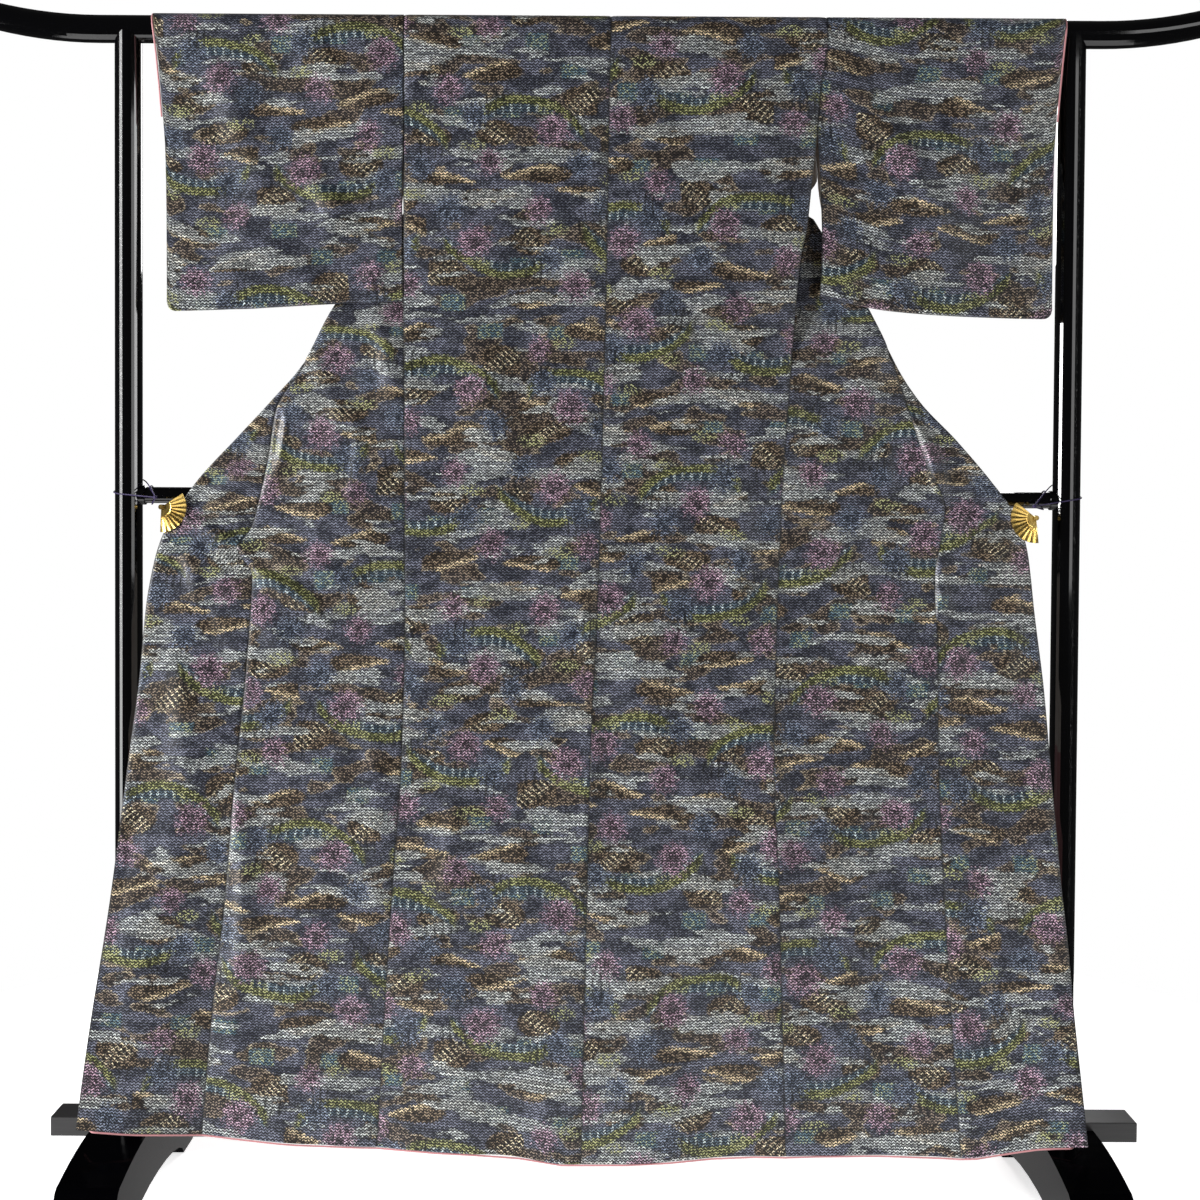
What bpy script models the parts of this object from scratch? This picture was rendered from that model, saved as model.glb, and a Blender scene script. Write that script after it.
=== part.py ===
"""A lined silk kimono spread over a black lacquered kimono stand (iko).

The kimono hangs with its back to -Y. Its two fronts and their overlap panels are opened out
sideways and held by a fan-shaped clip on each side. Its collar lies on the hidden side, +Y.
Metres, +Z up, origin on the floor under the middle of the stand.
"""
import math

import bmesh
import bpy
import numpy as np
from mathutils import Matrix, Vector

MM = 0.001          # the tables are in millimetres
LEFT, RIGHT = -1, 1

# ---- the stand -------------------------------------------------------------------------
BAR_RADIUS = 0.01925
BAR_CENTRE_Z = 1.668
BAR_HALF_LENGTH = 0.861
BAR_END_RISE = 0.018
BAR_END_RUN = 0.150
POST_X = 0.670
POST_RADIUS = 0.0193
RUNG_Z = 1.007
RUNG_RADIUS = 0.0115
RUNG_COLLAR_RADIUS = 0.0138
RUNG_COLLAR_WIDTH = 0.005
RAIL_HALF_LENGTH = 0.775
RAIL_DEPTH = 0.056
RAIL_HEIGHT = 0.028
RAIL_BOTTOM_Z = 0.092
FOOT_WIDTH = 0.084
FOOT_HALF_LENGTH = 0.215
FOOT_TOP_Z = 0.109
FOOT_TOP_RADIUS = 0.640
FOOT_ARCH_HEIGHT = 0.032
FOOT_PAD_LENGTH = 0.060
FIT = 0.0003        # gap between pieces that touch
LACQUER = (0.006, 0.006, 0.007)

# ---- the cloth -------------------------------------------------------------------------
WALL = 0.0015
DRAPE_RADIUS = BAR_RADIUS + 0.0015 + WALL / 2
TOP_Z = BAR_CENTRE_Z + DRAPE_RADIUS
BAR_QUARTER = DRAPE_RADIUS / MM * math.pi / 2      # length of cloth from the bar's top to its side
PATH_LESS_DROP = BAR_QUARTER - DRAPE_RADIUS / MM   # path past the bar's top less height below it
HEM_DROP = 1600.0
SHOULDER_PATH = 50.0         # how far past the bar's top the shoulder line lies, on the hidden side
NECK_PATH = 24.0             # the same for the neck seam at the middle of the back
NECK_HALF_WIDTH = 110.0
COLLAR_COLUMNS = (0.0, 11.0, 22.0, 34.0, 55.0)     # the last is the collar's width
CUFF_DROP = 215.0            # the sleeve is open at the wrist above this drop, sewn shut below
COLLAR_EASE = 55.0           # length over which the collar's band turns at the neck
SLEEVE_CORNER = 13.0
SLEEVE_SEAM = 0.3            # gap between the sleeve and the body
SEAM_GAP = 0.3
SLEEVE_SEWN_TO = (226, 250)  # drops over which the front's edge leaves the sleeve for the side seam
CROSSING_GAP = 0.9           # added where the overlap's seam passes round the outer fold
FOLD_STARTS = 256.0          # drop at which the front panel starts to show beyond the back
CLIP_DROP = 688.0
TURN = 27.0                  # drop over which a folded edge opens flat
FLAT_END = (6.0, 4.0)        # lengths that the turn and what lies behind it keep when flat
CROWDED = (8.0, 20.0)        # where the same two end on a row above the first fold
FRONT_COLUMNS = (3, 4, 4)    # columns before the fold, round it and behind it
OVERLAP_COLUMNS = (2, 4, 2)
BACK_COLUMNS = 7
DROPS = (65, 105, 150, 205, 250, 300, 350, 400, 445, 480, 504, 532, 575, 630, 665,
         720, 757, 796, 900, 1050, 1200, 1340, 1480, 1600)

SEWN_POINTS = 6              # points of a sleeve's ring, each way from its bottom, sewn at the wrist
EDGE_SHOWS = 2.6             # how far the lining's turned edge shows past the hem and the cuffs
EDGE_WALL = 1.6
CLOTH_COLOUR = (0.105, 0.115, 0.150)
LINING_COLOUR = (0.420, 0.200, 0.190)

# Middle of the back: drop below the bar's top, and how far the seam has wandered to +X
CENTRE = ("drop x", (
    (0, 15), (120, 13), (400, 10), (820, 1), (1050, -8), (1600, -18)))

# Body's side edge: the sleeve seam, the open slit under it and then the side seam
SIDE = ("drop left right", (
    (0, 278, 320), (38, 278, 320), (105, 277, 311), (160, 277, 307), (240, 277, 299), (300, 276, 293),
    (345, 276, 284),
    (400, 276, 279), (540, 274, 269), (660, 273, 261), (890, 271, 253), (1050, 274, 250),
    (1210, 284, 257), (1370, 293, 262), (1600, 304, 268)))

# Outermost line of the opened fronts: a fold down to the clip, then the front edge
OUTER = ("drop left right", (
    (280, 283, 303), (350, 331, 346), (415, 378, 385), (500, 422, 426), (545, 460, 456), (600, 510, 508),
    (660, 564, 557), (700, 592, 586), (740, 615, 604), (785, 627, 611), (840, 636, 617),
    (950, 645, 630), (1050, 657, 638), (1200, 673, 649), (1310, 686, 660), (1420, 698, 667),
    (1600, 712, 679)))

# Seam between front and overlap panel, from its hidden tip on the collar seam down to the hem
OVERLAP_SEAM = ("drop left right", (
    (254, 226, 226), (350, 298, 300), (430, 358, 364), (480, 400, 411), (505, 419, 422), (562, 456, 441),
    (630, 466, 463), (700, 481, 490), (730, 490, 486), (757, 508, 481), (775, 498, 478), (796, 487, 476),
    (930, 494, 481), (1045, 505, 482), (1240, 520, 490), (1400, 535, 499), (1600, 547, 510)))
OVERLAP_TIP_DROP = 254.0
# Drop at which that seam comes round the outer fold into view
SEAM_TURNS = {LEFT: 504.0, RIGHT: 479.0}

# Collar seam, on the hidden side down to the clip and on the outer line below it
COLLAR_SEAM = ("drop left right", (
    (40, 110, 110), (110, 148, 148), (180, 186, 186), (254, 226, 226), (340, 274, 274), (430, 330, 330),
    (490, 372, 372), (560, 428, 428), (620, 488, 482), (665, 545, 538), (700, 590, 584),
    (740, 613, 602), (785, 625, 609)))

# Depth of the hanging layers (+Y is the hidden side): back, side edge of the front, the layer
# that shows, its outer edge, the layer folded behind it, the sleeve's hidden half, and how far
# the slack of the front bulges out behind
DEPTH = ("drop back edge shown outer hidden sleeve bulge", (
    (20, -21.5, 21.5, 13.5, 13.5, 21.5, 21.5, 0), (90, -22, 17, 12, 12, 20, 17, 10),
    (150, -22.5, 12, 9, 9, 17, 12, 22), (230, -23.5, 4, 4, 4, 12, 1, 26),
    (280, -24, 1, 1, 1, 9, -3, 20), (350, -25, -5, -5, -5, 3, -9.5, 10),
    (420, -26, -10, -10, -10, -2, -14, 5), (460, -26.5, -20, -14, -14, -6, -14, 2),
    (520, -27.5, -27.5, -19, -19, -11, -14, 0), (600, -29, -29, -24.5, -24.5, -16.5, -14, 0),
    (680, -30, -30, -29.5, -29.5, -26.3, -14, 0), (800, -35, -35, -35, -35, -31.8, -14, 0),
    (1050, -45, -45, -46, -50, -43, -14, 0), (1400, -60, -60, -64, -84, -63, -14, 0),
    (1600, -73, -73, -85, -115, -85, -14, 0)))

# Drop of the hem: across the skirt from the left front edge to the right one
HEM = ("x drop", (
    (-712, 1556), (-547, 1573), (-304, 1594), (-136, 1602), (-18, 1615), (60, 1613), (266, 1601),
    (510, 1597), (575, 1587), (628, 1577), (680, 1571)))

# Soft folds that run down the skirt: where they meet the hem, their half width, how far they
# stand out there, and the drop at which they start
SKIRT_FOLDS = ("x spread stand start", (
    (-640, 38, -5, 900), (-545, 30, 5, 820), (-430, 46, -6, 980), (-300, 30, 4, 700),
    (-190, 52, -6, 900), (-60, 34, -6, 560), (70, 44, -5, 1000), (180, 50, 5, 1100),
    (268, 30, -5, 760), (400, 50, 5, 900), (520, 28, -6, 800), (610, 40, 5, 1000)))

# Sleeve: outer edge, and bottom edge from the body (0) to the wrist (1)
WRIST = ("drop left right", (
    (0, 632, 656), (60, 624, 650), (145, 616, 643), (200, 612, 640), (300, 610, 639), (430, 609, 639)))
SLEEVE_INNER = ("drop left right", (
    (0, 278, 320), (38, 278, 320), (105, 277, 311), (160, 277, 307), (240, 278, 311), (320, 278, 314),
    (430, 276, 310)))
SLEEVE_BOTTOM = ("across left right", (
    (0.0, 406, 396), (0.3, 411, 416), (0.6, 417, 423), (1.0, 423, 427)))


def column(table, name, at):
    """One named column of a table, read at a value of its first column by a smooth curve."""
    heads = table[0].split()
    rows = table[1]
    k = heads.index(name)
    xs = [row[0] for row in rows]
    ys = [row[k] for row in rows]
    if at <= xs[0]:
        return ys[0]
    if at >= xs[-1]:
        return ys[-1]
    slopes = [(ys[i + 1] - ys[i]) / (xs[i + 1] - xs[i]) for i in range(len(xs) - 1)]
    i = max(j for j in range(len(xs) - 1) if xs[j] <= at)
    ends = []
    for j in (i, i + 1):
        before = slopes[max(j - 1, 0)]
        after = slopes[min(j, len(slopes) - 1)]
        ends.append(0.0 if before * after <= 0 else 2 * before * after / (before + after))
    width = xs[i + 1] - xs[i]
    t = (at - xs[i]) / width
    rise = t * t * (3 - 2 * t)
    return (ys[i] + (ys[i + 1] - ys[i]) * rise + ends[0] * width * t * (1 - t) ** 2
            - ends[1] * width * t * t * (1 - t))


def side_name(side):
    return "left" if side == LEFT else "right"


def ease(value, start, end):
    """0 before start, 1 after end, and a smooth step between."""
    t = min(max((value - start) / (end - start), 0.0), 1.0)
    return t * t * (3 - 2 * t)


# ---- shape helpers ---------------------------------------------------------------------
def material(name, colour, roughness, metallic=0.0):
    made = bpy.data.materials.new(name)
    made.use_nodes = True
    shader = made.node_tree.nodes["Principled BSDF"]
    shader.inputs["Base Color"].default_value = (*colour, 1.0)
    shader.inputs["Roughness"].default_value = roughness
    shader.inputs["Metallic"].default_value = metallic
    return made


def add_object(name, mesh, made, smooth=True):
    body = bpy.data.objects.new(name, mesh)
    bpy.context.scene.collection.objects.link(body)
    mesh.materials.append(made)
    if smooth:
        mesh.shade_smooth()
        mesh.set_sharp_from_angle(angle=math.radians(35))
    return body


def mesh_from(bm, name):
    bmesh.ops.recalc_face_normals(bm, faces=bm.faces)
    if bm.calc_volume(signed=True) < 0:
        bmesh.ops.reverse_faces(bm, faces=bm.faces)
    mesh = bpy.data.meshes.new(name)
    bm.to_mesh(mesh)
    bm.free()
    return mesh


def grid_normals(grid, ring=False):
    """Unit normals of a grid of points; a ring closes on itself along its second index."""
    along = np.gradient(grid, axis=0)
    if ring:
        across = (np.roll(grid, -1, axis=1) - np.roll(grid, 1, axis=1)) / 2
    else:
        across = np.gradient(grid, axis=1)
    normals = np.cross(along, across)
    return normals / np.linalg.norm(normals, axis=2, keepdims=True)


def wall_from_grid(grid, ring=False, sewn=0):
    """A cloth wall around a grid of middle points, as a bmesh.

    On a ring, `sewn` closes the last row's opening between point k and its mirror -k, for
    the first `sewn` points each way: the sleeve's wrist edge below the cuff.
    """
    normals = grid_normals(grid, ring)
    rows, columns = grid.shape[:2]
    bm = bmesh.new()
    faces = []
    for offset in (WALL / 2, -WALL / 2):
        points = grid + normals * offset
        faces.append([[bm.verts.new(points[i, j]) for j in range(columns)] for i in range(rows)])
    outer, inner = faces
    last = columns if ring else columns - 1
    for i in range(rows - 1):
        for j in range(last):
            k = (j + 1) % columns
            bm.faces.new((outer[i][j], outer[i + 1][j], outer[i + 1][k], outer[i][k]))
            bm.faces.new((inner[i][j], inner[i][k], inner[i + 1][k], inner[i + 1][j]))
    if not ring:
        for j in (0, columns - 1):
            for i in range(rows - 1):
                bm.faces.new((outer[i][j], inner[i][j], inner[i + 1][j], outer[i + 1][j]))
    for i in (0, rows - 1):
        closed = sewn if i else 0
        for j in range(last):
            k = (j + 1) % columns
            if closed and (j < closed or j >= columns - closed):
                continue
            bm.faces.new((outer[i][j], outer[i][k], inner[i][k], inner[i][j]))
    if sewn:
        end = rows - 1
        for layer in (outer[end], inner[end]):
            for j in range(sewn):
                corners = [layer[j], layer[j + 1], layer[-(j + 1)], layer[-j]]
                bm.faces.new(corners[:3] if j == 0 else corners)
        bm.faces.new((outer[end][sewn], inner[end][sewn], inner[end][-sewn], outer[end][-sewn]))
    return bm


def cloth(name, grid, made, **how):
    bm = wall_from_grid(np.array(grid) * MM, **how)
    bmesh.ops.triangulate(bm, faces=bm.faces)
    return add_object(name, mesh_from(bm, name), made)


# ---- where the cloth lies --------------------------------------------------------------
def over_bar(path):
    """Depth and height of the cloth `path` past the bar's top, to the hidden side (+) or back."""
    radius = DRAPE_RADIUS / MM
    turn = min(abs(path), BAR_QUARTER) / radius
    depth = math.copysign(radius * math.sin(turn), path)
    height = BAR_CENTRE_Z / MM + radius * math.cos(turn) - max(abs(path) - BAR_QUARTER, 0.0)
    return depth, height


def folds(x, drop):
    """How far the skirt's soft folds push the cloth out at one place."""
    push = 0.0
    for at, spread, stand, start in SKIRT_FOLDS[1]:
        where = at * (0.90 + 0.10 * drop / HEM_DROP)
        push += stand * ease(drop, start, HEM_DROP + 150) * math.exp(-((x - where) / spread) ** 2)
    return push


def place(x, y, drop):
    """A point of the hanging cloth; towards the hem its height follows the hem's own line."""
    lower = ease(drop, 1250, HEM_DROP)
    sag = (column(HEM, "drop", x) - HEM_DROP) * lower
    return (x, y + folds(x, drop), TOP_Z / MM - drop - sag)


def front_drops(side):
    """Levels of the fronts: closer together where the cloth turns from folded to flat."""
    turning = [FOLD_STARTS + TURN * k / 3 for k in range(4)]
    turning += [SEAM_TURNS[side] - TURN * k / 3 for k in (-1, 0, 1, 2, 3, 4.5)]
    turning += [CLIP_DROP + TURN * k / 3 for k in (-1.5, 0, 1, 2, 3, 4.5)]
    kept = [drop for drop in DROPS if all(abs(drop - level) > 12 for level in turning)]
    return sorted(kept + turning)


def neck_line(x):
    """How far past the bar's top the back panel ends: the neck seam, then the shoulder line."""
    return NECK_PATH + (SHOULDER_PATH - NECK_PATH) * min(abs(x) / NECK_HALF_WIDTH, 1.0) ** 2


def back_columns(side, drop):
    """Where the columns of a back panel stand at one drop, from the middle seam outwards."""
    inner = column(CENTRE, "x", drop) + side * SEAM_GAP / 2
    edge = side * (column(SIDE, side_name(side), drop) - SEAM_GAP / 2)
    return [inner + (edge - inner) * j / (BACK_COLUMNS - 1) for j in range(BACK_COLUMNS)]


def back_panel(side):
    grid = []
    for step in (1.0, 0.75, 0.5, 0.25, 0.0, -0.35, -0.7, -1.0):
        row = []
        for x in back_columns(side, 0):
            path = neck_line(x) * step if step > 0 else BAR_QUARTER * step
            row.append((x, *over_bar(path)))
        grid.append(row)
    for drop in DROPS:
        y = column(DEPTH, "back", drop)
        grid.append([place(x, y, drop) for x in back_columns(side, drop)])
    return grid


class FoldedRow:
    """One level of a front and its overlap panel, as if on the right: the line they share.

    The line runs from the side edge out to the fold, round it and back behind to the collar
    seam. `turns` and `behind` are the lengths at which the fold starts and ends.
    """

    def __init__(self, side, drop):
        name = side_name(side)
        edge = column(SIDE, name, drop) + SEAM_GAP * (ease(drop, 230, 400) - 0.5)
        sewn = 1 - ease(drop, *SLEEVE_SEWN_TO)
        edge += max(column(SLEEVE_INNER, name, drop) - column(SIDE, name, drop), 0.0) * sewn
        edge_y, shown_y, outer_y, hidden_y = (
            column(DEPTH, head, drop) for head in ("edge", "shown", "outer", "hidden"))
        seam_x = column(COLLAR_SEAM if drop < OVERLAP_TIP_DROP else OVERLAP_SEAM, name, drop)
        collar_x = column(COLLAR_SEAM, name, drop)
        self.drop = drop
        self.seam_gap = SEAM_GAP
        line = [(edge, edge_y)]
        if drop <= FOLD_STARTS:
            line.append((min(seam_x, collar_x), hidden_y))
            self.turns, self.behind = CROWDED
            self.seam = math.dist(line[0], (seam_x, hidden_y))
            self.end = math.dist(*line)
        elif drop < FOLD_STARTS + TURN:
            heading = math.pi * (FOLD_STARTS + TURN - drop) / TURN
            radius = (hidden_y - edge_y) / 2
            self.turns = radius * math.tan(heading / 2)
            line.append((edge + self.turns * math.cos(heading), edge_y + self.turns * math.sin(heading)))
            line += arc(line[-1], radius, heading, math.pi)
            self.behind = self.turns + radius * (math.pi - heading)
            self.seam = self.behind + line[-1][0] - seam_x
            self.end = self.behind + line[-1][0] - collar_x
            line.append((collar_x, hidden_y))
        else:
            radius = (hidden_y - outer_y) / 2 * (1 - ease(drop, CLIP_DROP + TURN, CLIP_DROP + 3 * TURN))
            fold = column(OUTER, name, drop) - radius
            turn = SEAM_TURNS[side]
            off = max(turn - TURN - drop, drop - turn, 0.0)
            seam_x = fold + (min(seam_x, fold) - fold) * ease(off, 0, 1.5 * TURN)
            collar_x = fold + (min(collar_x, fold) - fold) * ease(CLIP_DROP - drop, 0, 1.5 * TURN)
            self.seam_gap += CROSSING_GAP * (1 - ease(off, 0, TURN))
            if drop > turn:
                line.append((seam_x, shown_y))
                self.seam = math.dist(*line)
            line.append((fold, outer_y))
            self.turns = sum(math.dist(a, b) for a, b in zip(line, line[1:]))
            self.behind = self.turns + math.pi * radius
            if radius > 0:
                line += arc(line[-1], radius, 0.0, math.pi)
                line.append((min(collar_x, seam_x, fold - 1), hidden_y))
            if drop <= turn:
                self.seam = self.behind + fold - seam_x
                if drop > turn - TURN:
                    self.seam = self.turns + math.pi * radius * (turn - drop) / TURN
            self.end = self.behind + fold - collar_x
            if drop > CLIP_DROP:
                self.end = self.turns + math.pi * radius * max(CLIP_DROP + TURN - drop, 0.0) / TURN
        self.line = np.array(line)
        steps = np.linalg.norm(np.diff(self.line, axis=0), axis=1)
        self.along = np.concatenate(([0.0], np.cumsum(steps)))

    def points(self, at, bulges=True):
        """Points at lengths along the row; the slack of the front's hidden layer bulges out."""
        xs = np.interp(at, self.along, self.line[:, 0])
        ys = np.interp(at, self.along, self.line[:, 1])
        slack = 0.75 * (self.seam - self.behind)
        if bulges and slack > 0:
            share = np.clip((np.array(at) - self.behind) / slack, 0.0, 1.0)
            bulge = min(column(DEPTH, "bulge", self.drop), 0.4 * slack)
            ys = ys + bulge * np.sin(math.pi * share) ** 2
        return list(zip(xs.tolist(), ys.tolist()))


def arc(start, radius, heading, end, count=12):
    """Points of a turn to the left, after its start."""
    centre_x = start[0] - radius * math.sin(heading)
    centre_y = start[1] + radius * math.cos(heading)
    angles = [heading + (end - heading) * k / count for k in range(1, count + 1)]
    return [(centre_x + radius * math.sin(a), centre_y - radius * math.cos(a)) for a in angles]


def spaced(stops, counts, even):
    """Lengths of a row's columns: `counts` between the stops, shifted by `even` to equal steps."""
    bounds = np.cumsum((0, *counts))
    steps = np.arange(bounds[-1] + 1)
    crowded = np.interp(steps, bounds, stops)
    equal = stops[0] + (stops[-1] - stops[0]) * steps / bounds[-1]
    return crowded + (equal - crowded) * even


def front_row(side, drop):
    """One level of a front panel, from its side edge to its inner edge."""
    row = FoldedRow(side, drop)
    behind = min(row.behind, row.seam - FLAT_END[1])
    turns = min(row.turns, behind - FLAT_END[0])
    turn = SEAM_TURNS[side]
    at = spaced((0.0, turns, behind, row.seam), FRONT_COLUMNS, ease(drop, turn, turn + 260))
    return row.points(at)


def overlap_row(side, drop):
    """One level of an overlap panel, from its seam with the front to its front edge."""
    row = FoldedRow(side, drop)
    start = row.seam + row.seam_gap
    turns = max(row.turns, start + FLAT_END[0])
    behind = max(row.behind, turns + FLAT_END[0])
    behind = min(behind, row.end - FLAT_END[1])
    turns = min(turns, behind - FLAT_END[0])
    if drop <= SEAM_TURNS[side] - TURN:
        turns = start + 0.12 * (row.end - start)
        behind = start + 0.36 * (row.end - start)
    at = spaced((start, turns, behind, row.end), OVERLAP_COLUMNS,
                ease(drop, CLIP_DROP + TURN, CLIP_DROP + TURN + 260))
    return row.points(at, bulges=False)


def panel_grid(side, drops, row_of):
    return [[place(side * x, y, drop) for x, y in row_of(side, drop)] for drop in drops]


def front_grid(side):
    """A front panel, from the shoulder line behind the bar down to the hem."""
    drop_at_shoulder = SHOULDER_PATH - PATH_LESS_DROP + SEAM_GAP
    return panel_grid(side, [drop_at_shoulder] + front_drops(side), front_row)


def overlap_grid(side):
    drops = [OVERLAP_TIP_DROP + 14] + [drop for drop in front_drops(side) if drop > OVERLAP_TIP_DROP + 20]
    return panel_grid(side, drops, overlap_row)


def collar_line():
    """The collar seam laid flat, as (side to side, path past the bar's top), left end to right."""
    drops = [785, 757, 720, 685, 655, 630, 600, 575, 532, 504, 480, 445, 415, 380, 340, 300, 250,
             205, 150, 105, 65, 49]
    half = {}
    for side in (LEFT, RIGHT):
        name = side_name(side)
        leg = []
        for drop in drops:
            x = column(COLLAR_SEAM, name, drop)
            if drop > CLIP_DROP:
                x = column(OUTER, name, drop) - 2.0
            leg.append((side * (x - 0.5 if drop > 55 else x), drop + PATH_LESS_DROP))
        half[side] = leg
    across = back_columns(LEFT, 0)[::-1] + back_columns(RIGHT, 0)
    neck = [(x, neck_line(x) + 0.45) for x in across if abs(x) < NECK_HALF_WIDTH - 4]
    return half[LEFT] + neck + half[RIGHT][::-1]


def collar_grid():
    line = np.array(collar_line())
    steps = np.diff(line, axis=0)
    along = np.concatenate(([0.0], np.cumsum(np.linalg.norm(steps, axis=1))))
    middles = (along[:-1] + along[1:]) / 2
    inward = []
    for at in along:
        near = np.exp(-((middles - at) / COLLAR_EASE) ** 2)[:, None] * steps
        way = near.sum(axis=0)
        inward.append(np.array((-way[1], way[0])) / np.linalg.norm(way))
    grid = []
    for at, way in zip(line, inward):
        row = []
        for across in COLLAR_COLUMNS:
            x, path = at + way * across
            drop = path - PATH_LESS_DROP
            if drop < 40:
                y, z = over_bar(path)
                row.append((x, y, z))
            else:
                behind = column(DEPTH, "hidden", drop) + 2.0 * ease(drop, 540, 640)
                row.append((x, behind, TOP_Z / MM - drop))
        grid.append(row)
    return grid


def sleeve_grid(side):
    """A sleeve as rings of cloth from the body to the wrist, hung over the bar."""
    name = side_name(side)
    across = [0.0, 0.2, 0.45, 0.7, 0.86, 0.95, 0.985, 1.0]
    grid = []
    for u in across:
        bottom = column(SLEEVE_BOTTOM, name, u)
        wide = column(WRIST, name, bottom) - column(SLEEVE_INNER, name, bottom)
        from_end = (1 - u) * wide
        if from_end < SLEEVE_CORNER:
            bottom -= SLEEVE_CORNER - math.sqrt(SLEEVE_CORNER ** 2 - (SLEEVE_CORNER - from_end) ** 2)
        shown, hidden = [], []
        for drop in (bottom - 6, 380, 340, 300, 262, CUFF_DROP, 150, 105, 65, 38):
            pinch = ease(u, 0.80, 1.0) * ease(drop, 150, 262)
            near = column(DEPTH, "back", drop)
            far = column(DEPTH, "sleeve", drop)
            far += (near + 4.5 - far) * pinch
            shown.append((near, drop))
            hidden.append((far, drop))
        middle = (shown[0][0] + hidden[0][0]) / 2
        ring = [(middle, bottom)] + shown
        for turn in (0, 36, 72, 108, 144, 180):
            depth = -DRAPE_RADIUS / MM * math.cos(math.radians(turn))
            ring.append((depth, DRAPE_RADIUS / MM * (1 - math.sin(math.radians(turn)))))
        ring += hidden[::-1]
        row = []
        for y, drop in ring:
            inner = max(column(SLEEVE_INNER, name, drop), column(SIDE, name, drop)) + SLEEVE_SEAM
            x = inner + (column(WRIST, name, drop) - inner) * u
            row.append((side * x, y, TOP_Z / MM - drop))
        grid.append(row)
    return grid


# ---- the stand, its clips and their cords ----------------------------------------------
def lathe(name, stations, made, sides=28, lift=None):
    """A round bar along X from (x, radius) stations; `lift` gives its centre's height at x."""
    bm = bmesh.new()
    rings = []
    for x, radius in stations:
        rise = lift(x) if lift else 0.0
        rings.append([bm.verts.new((x, radius * math.sin(2 * math.pi * k / sides),
                                    rise + radius * math.cos(2 * math.pi * k / sides)))
                      for k in range(sides)])
    for a, b in zip(rings, rings[1:]):
        for k in range(sides):
            bm.faces.new((a[k], a[(k + 1) % sides], b[(k + 1) % sides], b[k]))
    bm.faces.new(rings[0][::-1])
    bm.faces.new(rings[-1])
    return add_object(name, mesh_from(bm, name), made)


def cut(body, cutter, operation="DIFFERENCE"):
    cutter.hide_render = True
    cutter.display_type = "WIRE"
    change = body.modifiers.new(operation.title(), "BOOLEAN")
    change.operation = operation
    change.object = cutter
    change.solver = "EXACT"


def bar_lift(x):
    past = max(abs(x) - (BAR_HALF_LENGTH - BAR_END_RUN), 0.0) / BAR_END_RUN
    return BAR_END_RISE * past ** 2


def build_top_bar(lacquer):
    half = BAR_HALF_LENGTH
    right = [(half - BAR_END_RUN * (1 - k / 7), BAR_RADIUS) for k in range(7)]
    right += [(half - 0.004, BAR_RADIUS), (half - 0.0012, BAR_RADIUS - 0.0012), (half, BAR_RADIUS - 0.004)]
    left = [(-x, radius) for x, radius in right[::-1]]
    bar = lathe("top_bar", left + right, lacquer, lift=bar_lift)
    bar.location.z = BAR_CENTRE_Z


def cylinder(name, radius, depth, location, made, axis="Z", sides=28):
    bm = bmesh.new()
    bmesh.ops.create_cone(bm, cap_ends=True, segments=sides, radius1=radius, radius2=radius, depth=depth)
    if axis == "X":
        bmesh.ops.rotate(bm, verts=bm.verts, matrix=Matrix.Rotation(math.pi / 2, 3, "Y"))
    body = add_object(name, mesh_from(bm, name), made)
    body.location = location
    return body


def build_posts(lacquer):
    base = RAIL_BOTTOM_Z + RAIL_HEIGHT + FIT
    height = BAR_CENTRE_Z - base
    seat = cylinder("bar_seat_cutter", BAR_RADIUS + FIT, 2 * POST_X + 0.2, (0, 0, BAR_CENTRE_Z),
                    lacquer, axis="X", sides=56)
    for side in (LEFT, RIGHT):
        post = cylinder("post_" + side_name(side), POST_RADIUS, height,
                        (side * POST_X, 0, base + height / 2), lacquer)
        cut(post, seat)


def build_rung(lacquer):
    boss = POST_X - POST_RADIUS - RUNG_COLLAR_WIDTH
    half = POST_X - POST_RADIUS / 2
    right = [(boss - 0.001, RUNG_RADIUS), (boss, RUNG_COLLAR_RADIUS), (half, RUNG_COLLAR_RADIUS)]
    left = [(-x, radius) for x, radius in right[::-1]]
    rung = lathe("rung", left + right, lacquer)
    rung.location.z = RUNG_Z
    for side in (LEFT, RIGHT):
        cut(rung, cylinder("post_cutter_" + side_name(side), POST_RADIUS + FIT, 0.1,
                           (side * POST_X, 0, RUNG_Z), lacquer, sides=56))


def box(name, size, location, made, bevel=0.0):
    bm = bmesh.new()
    bmesh.ops.create_cube(bm, size=1.0)
    bmesh.ops.scale(bm, verts=bm.verts, vec=size)
    if bevel:
        bmesh.ops.bevel(bm, geom=list(bm.edges), offset=bevel, segments=2, profile=0.5, affect="EDGES")
    body = add_object(name, mesh_from(bm, name), made)
    body.location = location
    return body


def foot_outline():
    """Side view of a foot: arched top, round toes, two pads and an arch between them."""
    toe = 0.024
    straight = FOOT_HALF_LENGTH - toe
    top = []
    for k in range(-8, 9):
        y = straight * k / 8
        top.append((y, FOOT_TOP_Z - max(abs(y) - 0.035, 0.0) ** 2 / (2 * FOOT_TOP_RADIUS)))
    brow = top[-1][1]
    front = [(straight + toe * math.sin(math.radians(a)), brow - toe + toe * math.cos(math.radians(a)))
             for a in (22, 45, 68, 90)]
    front.append((FOOT_HALF_LENGTH, 0.003))
    front.append((FOOT_HALF_LENGTH - 0.003, 0.0))
    arch_half = FOOT_HALF_LENGTH - 0.003 - FOOT_PAD_LENGTH
    arch = [(arch_half * math.cos(math.radians(a)), FOOT_ARCH_HEIGHT * math.sin(math.radians(a)))
            for a in range(0, 181, 18)]
    back = [(-y, z) for y, z in front[::-1]]
    return top + front + arch + back


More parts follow.
